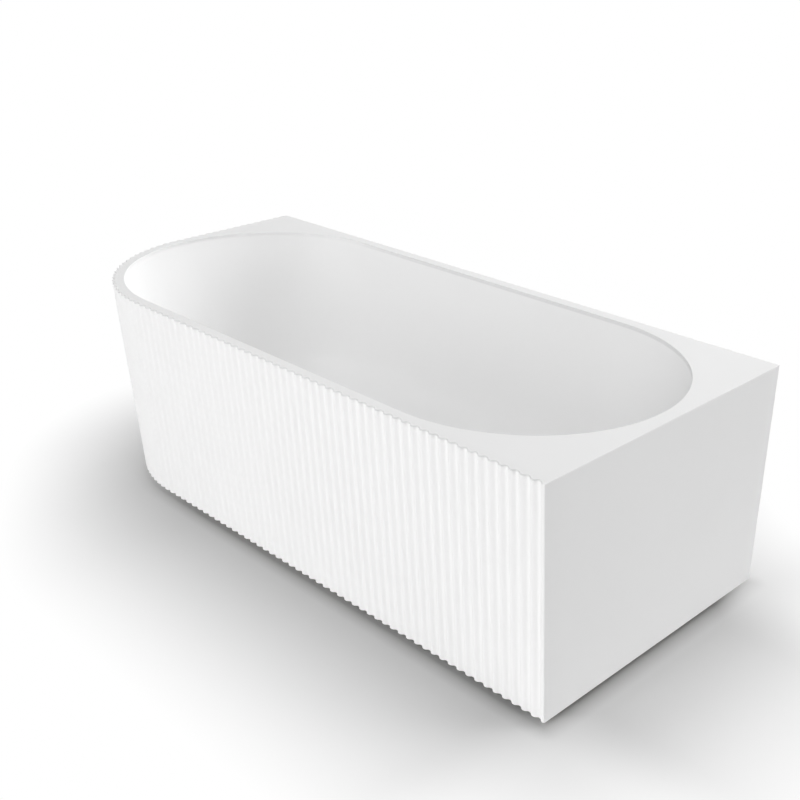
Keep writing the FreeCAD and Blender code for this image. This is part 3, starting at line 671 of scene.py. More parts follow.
def flutedTree():
    # columns along the run; in each, ten points round the section and one more that closes it. Rows and
    # columns are told apart at half steps
    tree, s, add = newTree("fluted_skirt_rule", dict(skirt, Columns=0))
    index = add("index", "InputIndex")
    columnPoints = ringPoints + 1.0
    column = calc("FLOOR", index / columnPoints)
    ring = index % columnPoints % float(ringPoints)
    nearTop = calc("MINIMUM", ring, float(ringPoints - 1) - ring)
    fromMiddle = ring - (ringPoints - 1) / 2
    fall = (s["Top"] - (s["Foot"] + s["Edge"])) * calc("MINIMUM", nearTop / 3.0, 1.0)
    arris = s["Edge"] * (calc("ABSOLUTE", fromMiddle) < 0.6)
    level = s["Top"] - (fall + arris)
    slope = s["Lean"] / (s["Rim"] - s["Foot"])
    # place along the run, held between the two ends, with guard columns at each
    firstLine = calc("CEIL", (s["Run Start"] - s["First Crest"]) / s["Step"])
    lineRun = (column + firstLine - guardColumns) * s["Step"] + s["First Crest"]
    runLow = calc("MAXIMUM", lineRun, s["Run Start"] + s["Guard"])
    runHeld = calc("MINIMUM", runLow, s["Run End"] - s["Guard"])
    run = runHeld - (column < 1.5) * s["Guard"] + (column > s["Columns"] - 2.5) * s["Guard"]
    # the wave: arcs about crests and valleys by turns
    halfPitch, quarter, rise = s["Pitch"] / 2.0, s["Pitch"] / 4.0, s["Depth"] / 2.0
    bend = (quarter * quarter + rise * rise) / s["Depth"]
    fromCrest = run - s["First Crest"]
    wave = calc("ROUND", fromCrest / halfPitch)
    along = fromCrest - wave * halfPitch
    swing = calc("SQRT", bend * bend - along * along) - (bend - rise)
    outerInset = rise - swing * calc("COSINE", wave * pi) + arris
    # the first and last columns close the ends
    cap = (column < 0.5) + (column > s["Columns"] - 1.5)
    useInner = (fromMiddle > 0.0) * (1.0 - cap)
    through = (s["Depth"] + s["Wall"] - outerInset) * useInner
    inset = outerInset + through + (s["Rim"] - level) * slope
    # the path: front, round corner, short end
    centreX, centreY = s["Corner Radius"] - s["Half Length"], s["Corner Radius"] - s["Half Width"]
    corner = s["Corner Radius"] * (pi / 2)
    afterFront = run - (s["Half Length"] - centreX)
    around = calc("MINIMUM", calc("MAXIMUM", afterFront, 0.0), corner) / s["Corner Radius"]
    sine, cosine, reach = calc("SINE", around), calc("COSINE", around), s["Corner Radius"] - inset
    x = centreX - calc("MINIMUM", afterFront, 0.0) - reach * sine
    y = centreY + calc("MAXIMUM", afterFront - corner, 0.0) - reach * cosine
    add("grid", "MeshGrid", {"Vertices X": "sizes.Columns", "Vertices Y": ringPoints + 1})
    add("point", "CombineXYZ", [x, y, level])
    add("shaped", "SetPosition", {"Geometry": "grid", "Position": "point"})
    # outward from the path, without the flutes
    add("outward", "CombineXYZ", [sine * -1.0, cosine * -1.0, slope * -1.0])
    add("faced", "StoreNamedAttribute",
        {"Geometry": "shaped", "Name": value("facing"), "Value": "outward"}, data_type="FLOAT_VECTOR")
    add("marked", "StoreNamedAttribute",
        {"Geometry": "faced", "Name": value("inside"), "Value": useInner}, data_type="FLOAT")
    add("closed", "MergeByDistance", {"Geometry": "marked", "Distance": weldDistance})
    add("real", "RealizeInstances", ["closed"])
    inside = add("inside", "InputNamedAttribute", {"Name": value("inside")}, data_type="FLOAT")
    add("coat", "SetMaterial", {"Geometry": "real", "Material": "sizes.Material"})
    wholly = inside > 0.99
    add("lined", "SetMaterial", {"Geometry": "coat", "Selection": wholly, "Material": "sizes.Backing"})
    add("result", "NodeGroupOutput", ["lined"])
    return tree


def makeFlutedSkirt():
    firstLine = ceil((skirt["Run Start"] - skirt["First Crest"]) / skirt["Step"])
    lastLine = floor((skirt["Run End"] - skirt["First Crest"]) / skirt["Step"])
    columns = lastLine - firstLine + 1 + 2 * guardColumns
    values = dict(skirt, Columns=columns, Material=materials["white_acrylic"], Backing=backing)
    mesh = grow("bath_fluted_skirt", flutedTree(), values)
    return stand(finishMesh("bath_fluted_skirt", mesh, sharp=60), "fluted_skirt")


flutedSkirt = makeFlutedSkirt()
print("fluted skirt:", len(flutedSkirt.data.polygons), "faces")


# Flat panels

panel = {"rows": 6, "arris": 0.0012, "facesIn": -0.3}


def panelLevels():
    low = foot + panel["arris"]
    return [deckFoot + (low - deckFoot) * row / panel["rows"] for row in range(panel["rows"] + 1)]


def endOutline(level):
    # the flat end's section, clockwise from where the fluted skirt stops
    r = outside["cornerRound"]
    side = [wavePoint(run, level) for run in reversed(runsBetween(r, halfLength - endLow.x))]
    frontRight = list(reversed(roundCorner(halfLength - r, side[-1][1] + r, 0)))
    backRight = list(reversed(roundCorner(halfLength - r, halfWidth - r, 90)))
    points = side + frontRight[1:] + joined(frontRight[-1], backRight[0], outside["endSteps"]) + backRight
    points.append((endLow.x, halfWidth))
    return list(reversed(points))


def backOutline(level):
    r = outside["cornerRound"]
    run = sideRun - (backHigh.y - backLow.y)
    side = [wavePoint(place, level) for place in runsBetween(run, sideRun - r)]
    backLeft = roundCorner(side[-1][0] + r, halfWidth - r, 180)
    farEnd, nearEnd = (endLow.x, halfWidth), (endLow.x, backLow.y)
    points = side + backLeft[1:] + joined(backLeft[-1], farEnd, outside["longSteps"]) + [farEnd, nearEnd]
    return points + joined(nearEnd, points[0], outside["longSteps"])


def makePanel(name, node, outline):
    skin = Skin()
    rows = [skin.row(outline(level), level) for level in panelLevels()]
    rows.append(skin.row(setIn(outline(foot), panel["arris"]), foot))
    skin.chain(rows)
    skin.cap(rows[0])
    skin.cap(rows[-1])
    piece = skin.build(name, [materials["white_acrylic"], backing])
    for face in piece.data.polygons:
        if face.normal.dot(face.center.normalized()) < panel["facesIn"]:
            face.material_index = 1
    stand(piece, node)


makePanel("bath_end_panel", "end_skirt", endOutline)
makePanel("bath_back_panel", "back_skirt", backOutline)
print("panels made")


# Turned and repeated pieces

turning = {"bendSteps": 4, "steps": 64}


def softProfile(corners):
    # a section's corners as (radius, level, rounding); a rounded one becomes a short curve
    made = []
    for index, (radius, level, bend) in enumerate(corners):
        here = Vector((radius, level))
        if not bend:
            made.append(here)
            continue
        before = Vector(corners[index - 1][:2])
        after = Vector(corners[(index + 1) % len(corners)][:2])
        start = here + (before - here).normalized() * bend
        end = here + (after - here).normalized() * bend
        for step in range(turning["bendSteps"] + 1):
            share = step / turning["bendSteps"]
            made.append(start * (1 - share) ** 2 + here * 2 * share * (1 - share) + end * share ** 2)
    return made


def turn(skin, corners, x, y, steps=turning["steps"]):
    # a closed section turned about an upright line
    rows = []
    for radius, level in softProfile(corners):
        ring = []
        for step in range(steps):
            angle = 2 * pi * step / steps
            ring.append((x + radius * cos(angle), y + radius * sin(angle)))
        rows.append(skin.row(ring, level))
    skin.chain(rows + rows[:1])


def solidsOf(node):
    # the points of each separate solid of a node
    work = bmesh.new()
    work.from_mesh(nodes[node].data)
    bmesh.ops.remove_doubles(work, verts=work.verts, dist=mergeDistance)
    seen = set()
    solids = []
    for first in work.verts:
        if first in seen:
            continue
        seen.add(first)
        wave, solid = [first], []
        while wave:
            vert = wave.pop()
            solid.append(vert.co.copy())
            for edge in vert.link_edges:
                other = edge.other_vert(vert)
                if other not in seen:
                    seen.add(other)
                    wave.append(other)
        solids.append(solid)
    work.free()
    return solids


def middleOf(points):
    xs, ys = [p.x for p in points], [p.y for p in points]
    return (min(xs) + max(xs)) / 2, (min(ys) + max(ys)) / 2


def seedMesh(places, edges=(), **attributes):
    mesh = bpy.data.meshes.new("seed")
    mesh.from_pydata(places, edges, [])
    for name, values in attributes.items():
        mesh.attributes.new(name, "FLOAT", "POINT").data.foreach_set("value", values)
    return mesh


def gather(name, meshes, fill, sharp=35):
    # several meshes as one piece
    work = bmesh.new()
    for mesh in meshes:
        work.from_mesh(mesh)
    whole = bpy.data.meshes.new(name)
    work.to_mesh(whole)
    work.free()
    whole.materials.append(fill)
    return finishMesh(name, whole, sharp)


# rows to a pitch, and how much of a nut's face stays flat
threadRows = 4.0
faceShare = 0.95


def threadSection(s, row, turned, angle):
    # a helix of rows, each pitch four rows: root, crest, crest, root
    free = s["Low"] - s["Pitch"] + ((row - 1.0) * s["Step"] + turned * s["Pitch"])
    held = calc("MINIMUM", calc("MAXIMUM", free, s["Low"]), s["High"])
    within = (free > s["Low"] + weldDistance) * (free < s["High"] - weldDistance)
    ridge = (calc("ABSOLUTE", row % threadRows - 1.5) < 1.0) * within
    outer = s["Root"] + ridge * s["Depth"]
    onBore = calc("MAXIMUM", row < 0.5, row > s["Rows"] - 2.5)
    radius = outer + (s["Bore"] - outer) * onBore
    return radius, held + (s["Close"] - held) * (row > s["Rows"] - 1.5)


def nutSection(s, row, turned, angle):
    # a hexagon with its corners turned off at 30 degrees; rows: bore, face, side, side, face, bore, bore
    hexagonAt = s["Flats"] / 2.0 / calc("COSINE", angle % (pi / 3) - pi / 6)
    face = s["Flats"] / 2.0 * faceShare
    beyond = hexagonAt - face
    offMiddle = calc("ABSOLUTE", row - 2.5)
    isSide, isOuter = offMiddle < 1.0, offMiddle < 2.0
    isUpper = (row > 2.5) - (row > 5.5)
    cut = beyond * tan(pi / 6) * isSide * (isUpper * -2.0 + 1.0)
    radius = s["Bore"] + ((face - s["Bore"]) * isOuter + beyond * isSide)
    return radius, s["Height"] * isUpper + cut + s["Low"]


def roundTree(name, sizes, section):
    # a section given by its function, carried round the axis and set on each seed point
    tree, s, add = newTree(name, sizes, seeded=True)
    index = add("index", "InputIndex")
    turned = calc("FLOOR", index / s["Rows"]) / (s["Columns"] - 1.0)
    angle = turned * (2 * pi)
    radius, level = section(s, index % s["Rows"], turned, angle)
    x, y = radius * calc("COSINE", angle), radius * calc("SINE", angle)
    add("grid", "MeshGrid", {"Vertices X": "sizes.Columns", "Vertices Y": "sizes.Rows"})
    add("point", "CombineXYZ", [x, y, level])
    add("shaped", "SetPosition", {"Geometry": "grid", "Position": "point"})
    add("closed", "MergeByDistance", {"Geometry": "shaped", "Distance": weldDistance})
    add("copies", "InstanceOnPoints", {"Points": "sizes.Seed", "Instance": "closed"})
    coatTree(add, "copies")
    return tree


hexagon = {"Flats": 0.019, "Bore": 0.006, "Height": 0.010, "Low": 0.0, "Rows": 7, "Columns": 37}
thread = {"Root": 0.0051, "Depth": 0.0009, "Pitch": 0.00175, "Bore": 0.0, "Low": 0.028, "High": 0.115,
          "Close": 0.115, "Step": 0.0, "Rows": 0, "Columns": 25}
hexagonTree = roundTree("hexagon_nuts", hexagon, nutSection)
threadTree = roundTree("screw_thread", thread, threadSection)


def growHexagons(places, fill, **sizes):
    return grow("hexagons", hexagonTree, dict(hexagon, Material=fill, **sizes), seedMesh(places))


def growThread(x, y, fill, **sizes):
    values = dict(thread, Material=fill, **sizes)
    values["Step"] = values["Pitch"] / threadRows
    values["Rows"] = ceil((values["High"] - values["Low"] + values["Pitch"]) / values["Step"]) + 4
    return grow("thread", threadTree, values, seedMesh([(x, y, 0.0)]))


# Nuts

nutBores = {"foot_weld_nuts": 0.00605, "foot_lock_nuts": 0.00605, "waste_back_nut": 0.02395}


def makeNuts(node, bore):
    low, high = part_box(node)
    solids = solidsOf(node)
    spans = [[max(line) - min(line) for line in list(zip(*solid))[:2]] for solid in solids]
    flats = min(min(span) for span in spans)
    places = [(*middleOf(solid), low.z) for solid in solids]
    mesh = growHexagons(places, fillOf(node), Flats=flats, Bore=bore, Height=high.z - low.z)
    stand(gather("bath_" + node.partition("_")[2], [mesh], fillOf(node), sharp=25), node)


for node, bore in nutBores.items():
    makeNuts(node, bore)
print("nuts made")


# Feet

footSizes = {
    "edge": 0.0016, "lip": 0.0045, "coneTop": 0.009, "socket": 0.011, "bore": 0.00605, "seat": 0.0059,
    "neck": 0.006, "collarLow": 0.020, "collarHigh": 0.028, "collarFlats": 0.019,
}


def makeFoot(number):
    f = footSizes
    pad, stud = f"foot_pad_{number}", f"foot_stud_{number}"
    low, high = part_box(pad)
    x, y = (low.x + high.x) / 2, (low.y + high.y) / 2
    skin = Skin()
    turn(skin, [
        (0, low.z, 0), ((high.x - low.x) / 2, low.z, f["edge"]), ((high.x - low.x) / 2, f["lip"], 0.001),
        (f["socket"], f["coneTop"], 0.002), (f["socket"], high.z, 0.001), (f["bore"], high.z, 0.0004),
        (f["bore"], f["seat"], 0), (0, f["seat"], 0),
    ], x, y)
    stand(skin.build("bath_" + pad, [fillOf(pad)], sharp=50), pad, pad)
    low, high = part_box(stud)
    fill = fillOf(stud)
    neck = Skin()
    turn(neck, [(0, low.z, 0), (f["neck"], low.z, 0.0008), (f["neck"], f["collarHigh"], 0),
                (0, f["collarHigh"], 0)], x, y)
    collar = growHexagons([(x, y, 0)], fill, Flats=f["collarFlats"], Low=f["collarLow"],
                          Height=f["collarHigh"] - f["collarLow"])
    bar = growThread(x, y, fill, Low=f["collarHigh"], High=high.z, Close=high.z)
    stand(gather("bath_" + stud, [neck.plain(), collar, bar], fill), stud, stud)


for number in range(1, 7):
    makeFoot(number)
print("feet made")


# Screws

screwSizes = {"shank": 0.0024, "head": 0.0048, "round": 0.0011, "edge": 0.0003, "tip": 0.0035, "steps": 24,
              "turned": 0.7, "deeper": 1.1}
slotSizes = {"Slot Length": 0.0052, "Slot Width": 0.0011, "Slot Depth": 0.0016, "Head Height": 0.003}
screwLengths = {"strap_screws": 0.014, "board_screws": 0.040}


def screwTree():
    # a screw with a cross cut into its head, one on each seed point, turned over where the seed says so
    tree, s, add = newTree("pan_head_screws", slotSizes, seeded=True)
    tree.interface.new_socket("Screw", in_out="INPUT", socket_type="NodeSocketObject")
    add("screw", "ObjectInfo", {"Object": "sizes.Screw"})
    add("headTop", "CombineXYZ", {2: s["Head Height"]})
    long, wide, deep = s["Slot Length"], s["Slot Width"], s["Slot Depth"] * 2.0
    # the second cut goes a little deeper, so the two cuts' floors aren't in one plane
    cuts = {"slotA": [long, wide, deep], "slotB": [wide, long, deep * screwSizes["deeper"]]}
    head = "screw.Geometry"
    for name, size in cuts.items():
        add(name, "MeshCube", {"Size": add(name + "Size", "CombineXYZ", size)})
        add(name + "Placed", "Transform", {"Geometry": name, "Translation": "headTop"})
        add(name + "Cut", "MeshBoolean", {"Mesh 1": head, "Mesh 2": name + "Placed"}, operation="DIFFERENCE")
        head = name + "Cut"
    for name in ("flip", "quarter"):
        add(name, "InputNamedAttribute", {"Name": value(name)}, data_type="FLOAT")
    add("rotation", "CombineXYZ", {0: "flip", 2: "quarter"})
    add("copies", "InstanceOnPoints", {"Points": "sizes.Seed", "Instance": head, "Rotation": "rotation"})
    coatTree(add, "copies")
    return tree


crossScrewTree = screwTree()


def makeScrews(node, length):
    s, height, fill = screwSizes, slotSizes["Head Height"], fillOf(node)
    skin = Skin()
    turn(skin, [(0, height, 0), (s["head"], height, s["round"]), (s["head"], 0, s["edge"]),
                (s["shank"], 0, 0), (s["shank"], s["tip"] - length, 0), (0, -length, 0)], 0, 0, s["steps"])
    pattern = finishMesh("bath_" + node + "_pattern", skin.plain())
    places, flips, quarters = [], [], []
    for count, solid in enumerate(solidsOf(node)):
        x, y = middleOf(solid)
        top = max(p.z for p in solid)
        widest = max(solid, key=lambda p: hypot(p.x - x, p.y - y))
        headUp = widest.z > top - 2 * height
        places.append((x, y, top - height if headUp else min(p.z for p in solid) + height))
        flips.append(0.0 if headUp else pi)
        quarters.append(count * s["turned"])
    values = dict(slotSizes, Screw=pattern, Material=fill)
    mesh = grow("bath_" + node, crossScrewTree, values, seedMesh(places, flip=flips, quarter=quarters))
    bpy.data.objects.remove(pattern)
    stand(gather("bath_" + node, [mesh], fill, sharp=30), node)


for node, length in screwLengths.items():
    makeScrews(node, length)
print("screws made")


# Frame: square tube with rounded corners, and its welds

frameSizes = {"corner": 0.003, "segments": 3, "flat": 0.0005, "longShare": 0.02}
weld = {"Bead": 0.0022, "Ripple": 0.0028, "Ripple Height": 0.16}


def makeTube(node):
    # the long outer corner edges of a square tube are rounded
    low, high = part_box(node)
    span = high - low
    way = max(range(3), key=lambda axis: span[axis])
    others = [axis for axis in range(3) if axis != way]
    work = bmesh.new()
    work.from_mesh(nodes[node].data)
    bmesh.ops.remove_doubles(work, verts=work.verts, dist=mergeDistance)
    bmesh.ops.dissolve_limit(work, angle_limit=radians(1), verts=work.verts, edges=work.edges)

    def onCorner(vert):
        return all(min(abs(vert.co[axis] - low[axis]), abs(vert.co[axis] - high[axis])) < frameSizes["flat"]
                   for axis in others)

    long = [edge for edge in work.edges if all(onCorner(vert) for vert in edge.verts)
            and abs(edge.verts[0].co[way] - edge.verts[1].co[way]) > span[way] * frameSizes["longShare"]]
    bmesh.ops.bevel(work, geom=long, offset=frameSizes["corner"], segments=frameSizes["segments"],
                    affect="EDGES")
    mesh = bpy.data.meshes.new("tube")
    work.to_mesh(mesh)
    work.free()
    mesh.materials.clear()
    mesh.materials.append(fillOf(node))
    stand(finishMesh("bath_" + node, mesh, sharp=35), node)


frameTubes = [name for name in nodes if name.startswith(("frame_", "rim_post_"))]
for name in frameTubes:
    makeTube(name)


def weldTree():
    # a bead along each seed line, four points to a ripple
    tree, s, add = newTree("weld_beads", weld, seeded=True)
    add("line", "MeshToCurve", {"Mesh": "sizes.Seed"})
    add("even", "ResampleCurve", {"Curve": "line", "Length": s["Ripple"] / 4.0}, mode="LENGTH")
    wave = calc("SINE", add("index", "InputIndex") * (pi / 2))
    radius = (wave * s["Ripple Height"] + 1.0) * s["Bead"]
    add("ring", "CurvePrimitiveCircle", {"Resolution": 8, "Radius": 1.0})
    along = {"Curve": "even", "Profile Curve": "ring.Curve", "Scale": radius, "Fill Caps": True}
    add("bead", "CurveToMesh", along)
    coatTree(add, "bead")
    return tree


def makeWelds():
    tree = weldTree()
    fill = materials["galvanised_steel"]
    beads = []
    for name in frameTubes:
        low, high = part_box(name)
        loops, sides = [], [(3, 0), (0, 1), (1, 2)]
        if name.startswith("frame_cross"):
            # the top stays flat under the base board
            loops = [[(low.x, y, low.z), (high.x, y, low.z), (high.x, y, high.z), (low.x, y, high.z)]
                     for y in (low.y, high.y)]
        elif name.startswith("rim_post"):
            loops = [[(low.x, low.y, low.z), (high.x, low.y, low.z), (high.x, high.y, low.z),
                      (low.x, high.y, low.z)]]
            sides = [(0, 1), (1, 2), (2, 3), (3, 0)]
        beads += [grow("weld", tree, dict(weld, Material=fill), seedMesh(loop, sides)) for loop in loops]
    piece = gather("bath_frame_welds", beads, fill)
    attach(piece, "bath")


makeWelds()
print("frame made:", len(frameTubes), "tubes")


# Waste and click plug

waste = {
    "flange": 0.035, "flangeThick": 0.0025, "tube": 0.0239, "root": 0.0231, "threadTop": 0.1085,
    "threadPitch": 0.002, "threadColumns": 65, "bore": 0.0205, "seat": 0.0045, "shoulder": 0.060,
    "spigot": 0.020, "spigotBore": 0.018, "hub": 0.010, "hubLow": 0.088, "hubHigh": 0.094, "hubBore": 0.00705,
    "rib": 0.004, "ribs": 3, "edge": 0.0009, "soft": 0.0008, "crisp": 0.0004,
}
wasteX = bowlX


def makeWaste():
    w = waste
    low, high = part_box("waste_body")
    top, under, shoulder = high.z, high.z - w["flangeThick"], w["shoulder"]
    step = w["tube"] - w["spigot"]
    edge, soft, crisp = w["edge"], w["soft"], w["crisp"]
    skin = Skin()
    turn(skin, [
        (w["bore"] + w["seat"], top, 0.0003), (w["flange"], top, edge), (w["flange"], under, 0.0002),
        (w["root"], under, 0), (w["root"], shoulder, soft), (w["spigot"], shoulder - step, soft),
        (w["spigot"], low.z, crisp), (w["spigotBore"], low.z, crisp), (w["spigotBore"], shoulder, soft),
        (w["bore"], shoulder + step, soft), (w["bore"], top - w["seat"], crisp),
    ], wasteX, 0)
    turn(skin, [(w["hubBore"], w["hubHigh"], crisp), (w["hub"], w["hubHigh"], soft),
                (w["hub"], w["hubLow"], soft), (w["hubBore"], w["hubLow"], crisp)], wasteX, 0)
    fill = fillOf("waste_body")
    sleeve = growThread(wasteX, 0, fill, Root=w["root"], Depth=w["tube"] - w["root"], Pitch=w["threadPitch"],
                        Bore=w["root"] - edge, Low=shoulder + edge, High=w["threadTop"],
                        Close=shoulder + edge, Columns=w["threadColumns"])
    legs = []
    for leg in range(w["ribs"]):
        angle = 2 * pi * leg / w["ribs"]
        along, across = Vector((cos(angle), sin(angle))), Vector((-sin(angle), cos(angle)))
        near, far, half = (w["hub"] + w["hubBore"]) / 2, (w["bore"] + w["root"]) / 2, w["rib"] / 2
        section = [along * near - across * half, along * far - across * half,
                   along * far + across * half, along * near + across * half]
        rib = Skin()
        rows = []
        for level, taper in ((w["hubLow"], edge), (w["hubLow"] + edge, 0), (w["hubHigh"] - edge, 0),
                             (w["hubHigh"], edge)):
            # the long edges of a leg are softened
            ring = [point + across * taper * way for point, way in zip(section, (1, 1, -1, -1))]
            rows.append(rib.row([(wasteX + point.x, point.y) for point in ring], level))
        rib.chain(rows)
        rib.cap(rows[0])
        rib.cap(rows[-1])
        legs.append(rib.plain())
    stand(gather("bath_waste", [skin.plain(), sleeve] + legs, fill, sharp=35), "waste_body")


plug = {
    "cap": 0.032, "capEdge": 0.002, "crown": 0.005, "boss": 0.007, "bossHole": 0.0040, "bossBite": 0.006,
    "domeSteps": 10, "wire": 0.0009, "coils": 4.5, "rollOver": 0.0008,
}


def makePlugCap():
    # a shallow dome over a thin rolled edge, with the boss for its stem below
    p = plug
    low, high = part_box("plug_cap")
    underside = high.z - p["capEdge"] - p["crown"]
    bend = (p["cap"] ** 2 + p["crown"] ** 2) / (2 * p["crown"])
    dome = []
    for step in range(p["domeSteps"]):
        radius = (p["cap"] - p["rollOver"]) * step / (p["domeSteps"] - 1)
        dome.append((radius, high.z - bend + sqrt(bend ** 2 - radius ** 2), 0))
    edge = [(p["cap"], underside + p["capEdge"], p["rollOver"] / 2), (p["cap"], underside, p["rollOver"] / 2)]
    below = [(p["boss"], underside, 0.0005), (p["boss"], low.z, 0.0004), (p["bossHole"], low.z, 0.0003),
             (p["bossHole"], low.z + p["bossBite"], 0), (0, low.z + p["bossBite"], 0)]
    skin = Skin()
    turn(skin, dome + edge + below, wasteX, 0)
    stand(skin.build("bath_plug_cap", [fillOf("plug_cap")], sharp=45), "plug_cap", "plug")


def makeSpring():
    # a coil of wire between the cartridge's floor and the piston
    low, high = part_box("plug_spring")
    wire, fill = plug["wire"], fillOf("plug_spring")
    sizes = {"Wire": wire / 2, "Coils": plug["coils"], "Radius": (high.x - low.x - wire) / 2,
             "Height": high.z - low.z - wire}
    tree, s, add = newTree("coil_spring", sizes, seeded=True)
    add("coil", "CurveSpiral", {"Resolution": 24, "Rotations": s["Coils"], "Start Radius": s["Radius"],
                                "End Radius": s["Radius"], "Height": s["Height"]})
    add("ring", "CurvePrimitiveCircle", {"Resolution": 10, "Radius": s["Wire"]})
    add("tube", "CurveToMesh", {"Curve": "coil", "Profile Curve": "ring.Curve", "Fill Caps": True})
    add("copies", "InstanceOnPoints", {"Points": "sizes.Seed", "Instance": "tube"})
    coatTree(add, "copies")
    mesh = grow("spring", tree, dict(sizes, Material=fill), seedMesh([(wasteX, 0, low.z + wire / 2)]))
    piece = gather("bath_plug_spring", [mesh], fill, sharp=60)
    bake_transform(piece)
    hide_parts("plug_spring")


makeWaste()
makePlugCap()
makeSpring()
print("waste and plug made")


# Studio

cameraSet = {
    "place": (1.9624, -1.8008, 1.5035), "yaw": 0.8084, "dip": 0.4200, "lens": 52.39, "sensor": 36.0,
    "farthest": 100,
}
floorSet = {
    # the floor that lights the bath, the tone it shows at the bath's foot, and how that fades to white
    "size": 60.0, "colour": "#F6F6F6", "shown": "#CBCBCB", "fadeRun": 0.52, "fadePower": 1.3,
    "contactRun": 0.042, "contactPower": 1.3, "endDeeper": 0.055,
}
# where the floor's tone shifts: from one place to another along X or Y, from one value to another
floorRamps = {
    "leftness": ("parts.X", -0.25, -0.85, 0.0, 0.14), "contactSide": ("parts.X", -0.35, -0.80, 0.40, 0.0),
    "pastEnd": ("parts.X", 0.74, 0.92, 0.0, 0.145), "pastFront": ("parts.Y", -0.22, -0.40, 0.0, 1.0),
    "endStart": ("parts.X", 0.60, 0.85, 0.0, 1.0), "endStop": ("parts.X", 0.95, 1.17, 1.0, 0.0),
    "farSide": ("parts.Y", 0.18, 0.44, 0.0, 0.27), "farStart": ("parts.X", 0.50, 0.85, 0.0, 1.0),
}
# softboxes: place, width and height, strength at the aim
softboxes = {
    "front_box": ((-0.3, -3.2, 0.25), (3.6, 0.46), 0.1758),
    "right_box": ((2.4, 0.6, 2.4), (1.8, 1.8), 0.0601),
    "back_box": ((0.0, 2.8, 2.4), (3.0, 1.6), 0.1059),
    "top_box": ((0.0, 0.0, 3.2), (3.0, 2.0), 0.2537),
    "under_box": ((0.0, 0.0, -2.2), (2.6, 1.6), 0.5),
}
boxAim = (0.0, 0.0, 0.3)
# suns: azimuth, where 0 comes from the front and 90 from the square end, elevation and strength
suns = {
    "front_low": (0, 12, 0.2640), "front_high": (0, 40, 0.2472), "back_low": (180, 12, 0.1835),
    "right_low": (135, 20, 0.3036), "back_high": (150, 50, 0.2086),
}
sunSpread = 30


def makeCamera():
    data = bpy.data.cameras.new("camera")
    data.lens = cameraSet["lens"]
    data.sensor_width = cameraSet["sensor"]
    data.clip_end = cameraSet["farthest"]
    made = bpy.data.objects.new("camera", data)
    made.location = cameraSet["place"]
    made.rotation_euler = (pi / 2 - cameraSet["dip"], 0, cameraSet["yaw"])
    studio.objects.link(made)
    bpy.context.scene.camera = made


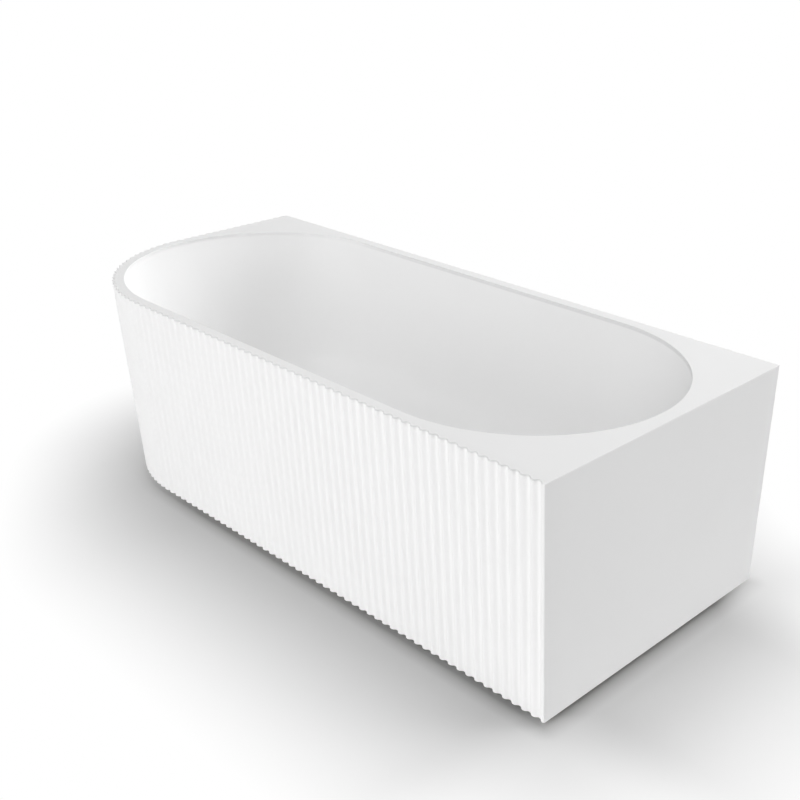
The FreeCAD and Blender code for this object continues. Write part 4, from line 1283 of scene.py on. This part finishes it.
def makeFloor():
    half = floorSet["size"] / 2
    mesh = bpy.data.meshes.new("floor")
    corners = [(-half, -half, 0), (half, -half, 0), (half, half, 0), (-half, half, 0)]
    mesh.from_pydata(corners, [], [(0, 1, 2, 3)])
    piece = bpy.data.objects.new("floor", mesh)
    studio.objects.link(piece)
    made, add = openMaterial("studio_floor")
    # distance from the bath's foot: a rectangle and the circle of its round corner; the shade fades sooner at
    # the left, past the square corner and at the far end, and later beside the square end
    front, left = halfWidth - outside["lean"], halfLength - outside["lean"]
    parts = add("parts", "SeparateXYZ", ["place.Object"])
    x, y = parts["X"], parts["Y"]
    ramp = {}
    for name, run in floorRamps.items():
        ramp[name] = add(name, "MapRange", list(run), interpolation_type="SMOOTHSTEP")
    outX = calc("MAXIMUM", calc("MAXIMUM", -left - x, x - halfLength), 0.0)
    outY = calc("MAXIMUM", calc("MAXIMUM", -front - y, y - halfWidth), 0.0)
    intoX, intoY = calc("MAXIMUM", cornerX - x, 0.0), calc("MAXIMUM", cornerY - y, 0.0)
    outCorner = calc("SQRT", intoX * intoX + intoY * intoY) - (outside["cornerRadius"] - outside["lean"])
    fromFoot = calc("MAXIMUM", calc("SQRT", outX * outX + outY * outY), outCorner)
    later = ramp["endStart"] * ramp["endStop"] * (1.0 - ramp["pastFront"]) * floorSet["endDeeper"]
    out = fromFoot + ramp["leftness"] + ramp["pastEnd"] * ramp["pastFront"]
    out = out + ramp["farSide"] * ramp["farStart"] - later
    near = add("near", "MapRange", [out, 0.0, floorSet["fadeRun"], 1.0, 0.0])
    fade = 1.0 - calc("POWER", near, floorSet["fadePower"])
    add("path", "LightPath")
    add("seen", "Math", ["path.Is Camera Ray", "path.Is Glossy Ray"], operation="MAXIMUM")
    add("paint", "BsdfDiffuse", {"Color": floorSet["colour"]})
    # darker where the gap under the skirt lets no light in, less so at the round side
    close = add("close", "MapRange", [fromFoot, 0.0, floorSet["contactRun"], 1.0, 0.0])
    contact = calc("POWER", close, floorSet["contactPower"]) * ramp["contactSide"]
    add("shaded", "Mix", {0: contact, 6: floorSet["shown"], 7: "#000000"}, data_type="RGBA")
    add("shown", "BsdfDiffuse", {"Color": "shaded.2"})
    add("white", "Emission", {"Color": "#FFFFFF", "Strength": 1.0})
    add("faded", "MixShader", [fade, "shown", "white"])
    add("both", "MixShader", ["seen", "paint", "faded"])
    # seen from below the floor is clear, and it lets the lamp under it through
    add("side", "NewGeometry")
    add("below", "Math", ["path.Is Shadow Ray", "side.Backfacing"], operation="MAXIMUM")
    add("clear", "BsdfTransparent")
    add("oneSided", "MixShader", ["below", "both", "clear"])
    add("end", "OutputMaterial", {"Surface": "oneSided"})
    mesh.materials.append(made)


def makeWorld():
    world = bpy.data.worlds.new("studio_world")
    world.use_nodes = True
    tree = world.node_tree
    tree.nodes.clear()
    add = partial(addNode, tree)
    add("path", "LightPath")
    add("seen", "Math", ["path.Is Camera Ray", "path.Is Glossy Ray"], operation="MAXIMUM")
    add("clear", "Math", ["seen", "path.Is Transmission Ray"], operation="MAXIMUM")
    add("room", "Background", {"Color": "#FFFFFF", "Strength": 0.0})
    add("white", "Background", {"Color": "#FFFFFF", "Strength": 1.0})
    add("mix", "MixShader", ["clear", "room", "white"])
    add("out", "OutputWorld", {"Surface": "mix"})
    bpy.context.scene.world = world


def makeLights():
    for name, (azimuth, elevation, strength) in suns.items():
        data = bpy.data.lights.new(name, "SUN")
        data.energy = pi * strength
        data.angle = radians(sunSpread)
        lamp = bpy.data.objects.new(name, data)
        lamp.rotation_euler = (pi / 2 - radians(elevation), 0, radians(azimuth))
        studio.objects.link(lamp)
    for name, (place, size, strength) in softboxes.items():
        data = bpy.data.lights.new(name, "AREA")
        data.shape = "RECTANGLE"
        data.size, data.size_y = size
        away = Vector(boxAim) - Vector(place)
        data.energy = pi ** 2 * away.length_squared * strength
        lamp = bpy.data.objects.new(name, data)
        lamp.location = place
        lamp.rotation_euler = away.to_track_quat("-Z", "Y").to_euler()
        lamp.visible_camera = False
        studio.objects.link(lamp)


makeCamera()
makeFloor()
makeWorld()
makeLights()
bpy.context.scene.view_settings.view_transform = "Standard"
print("studio made")
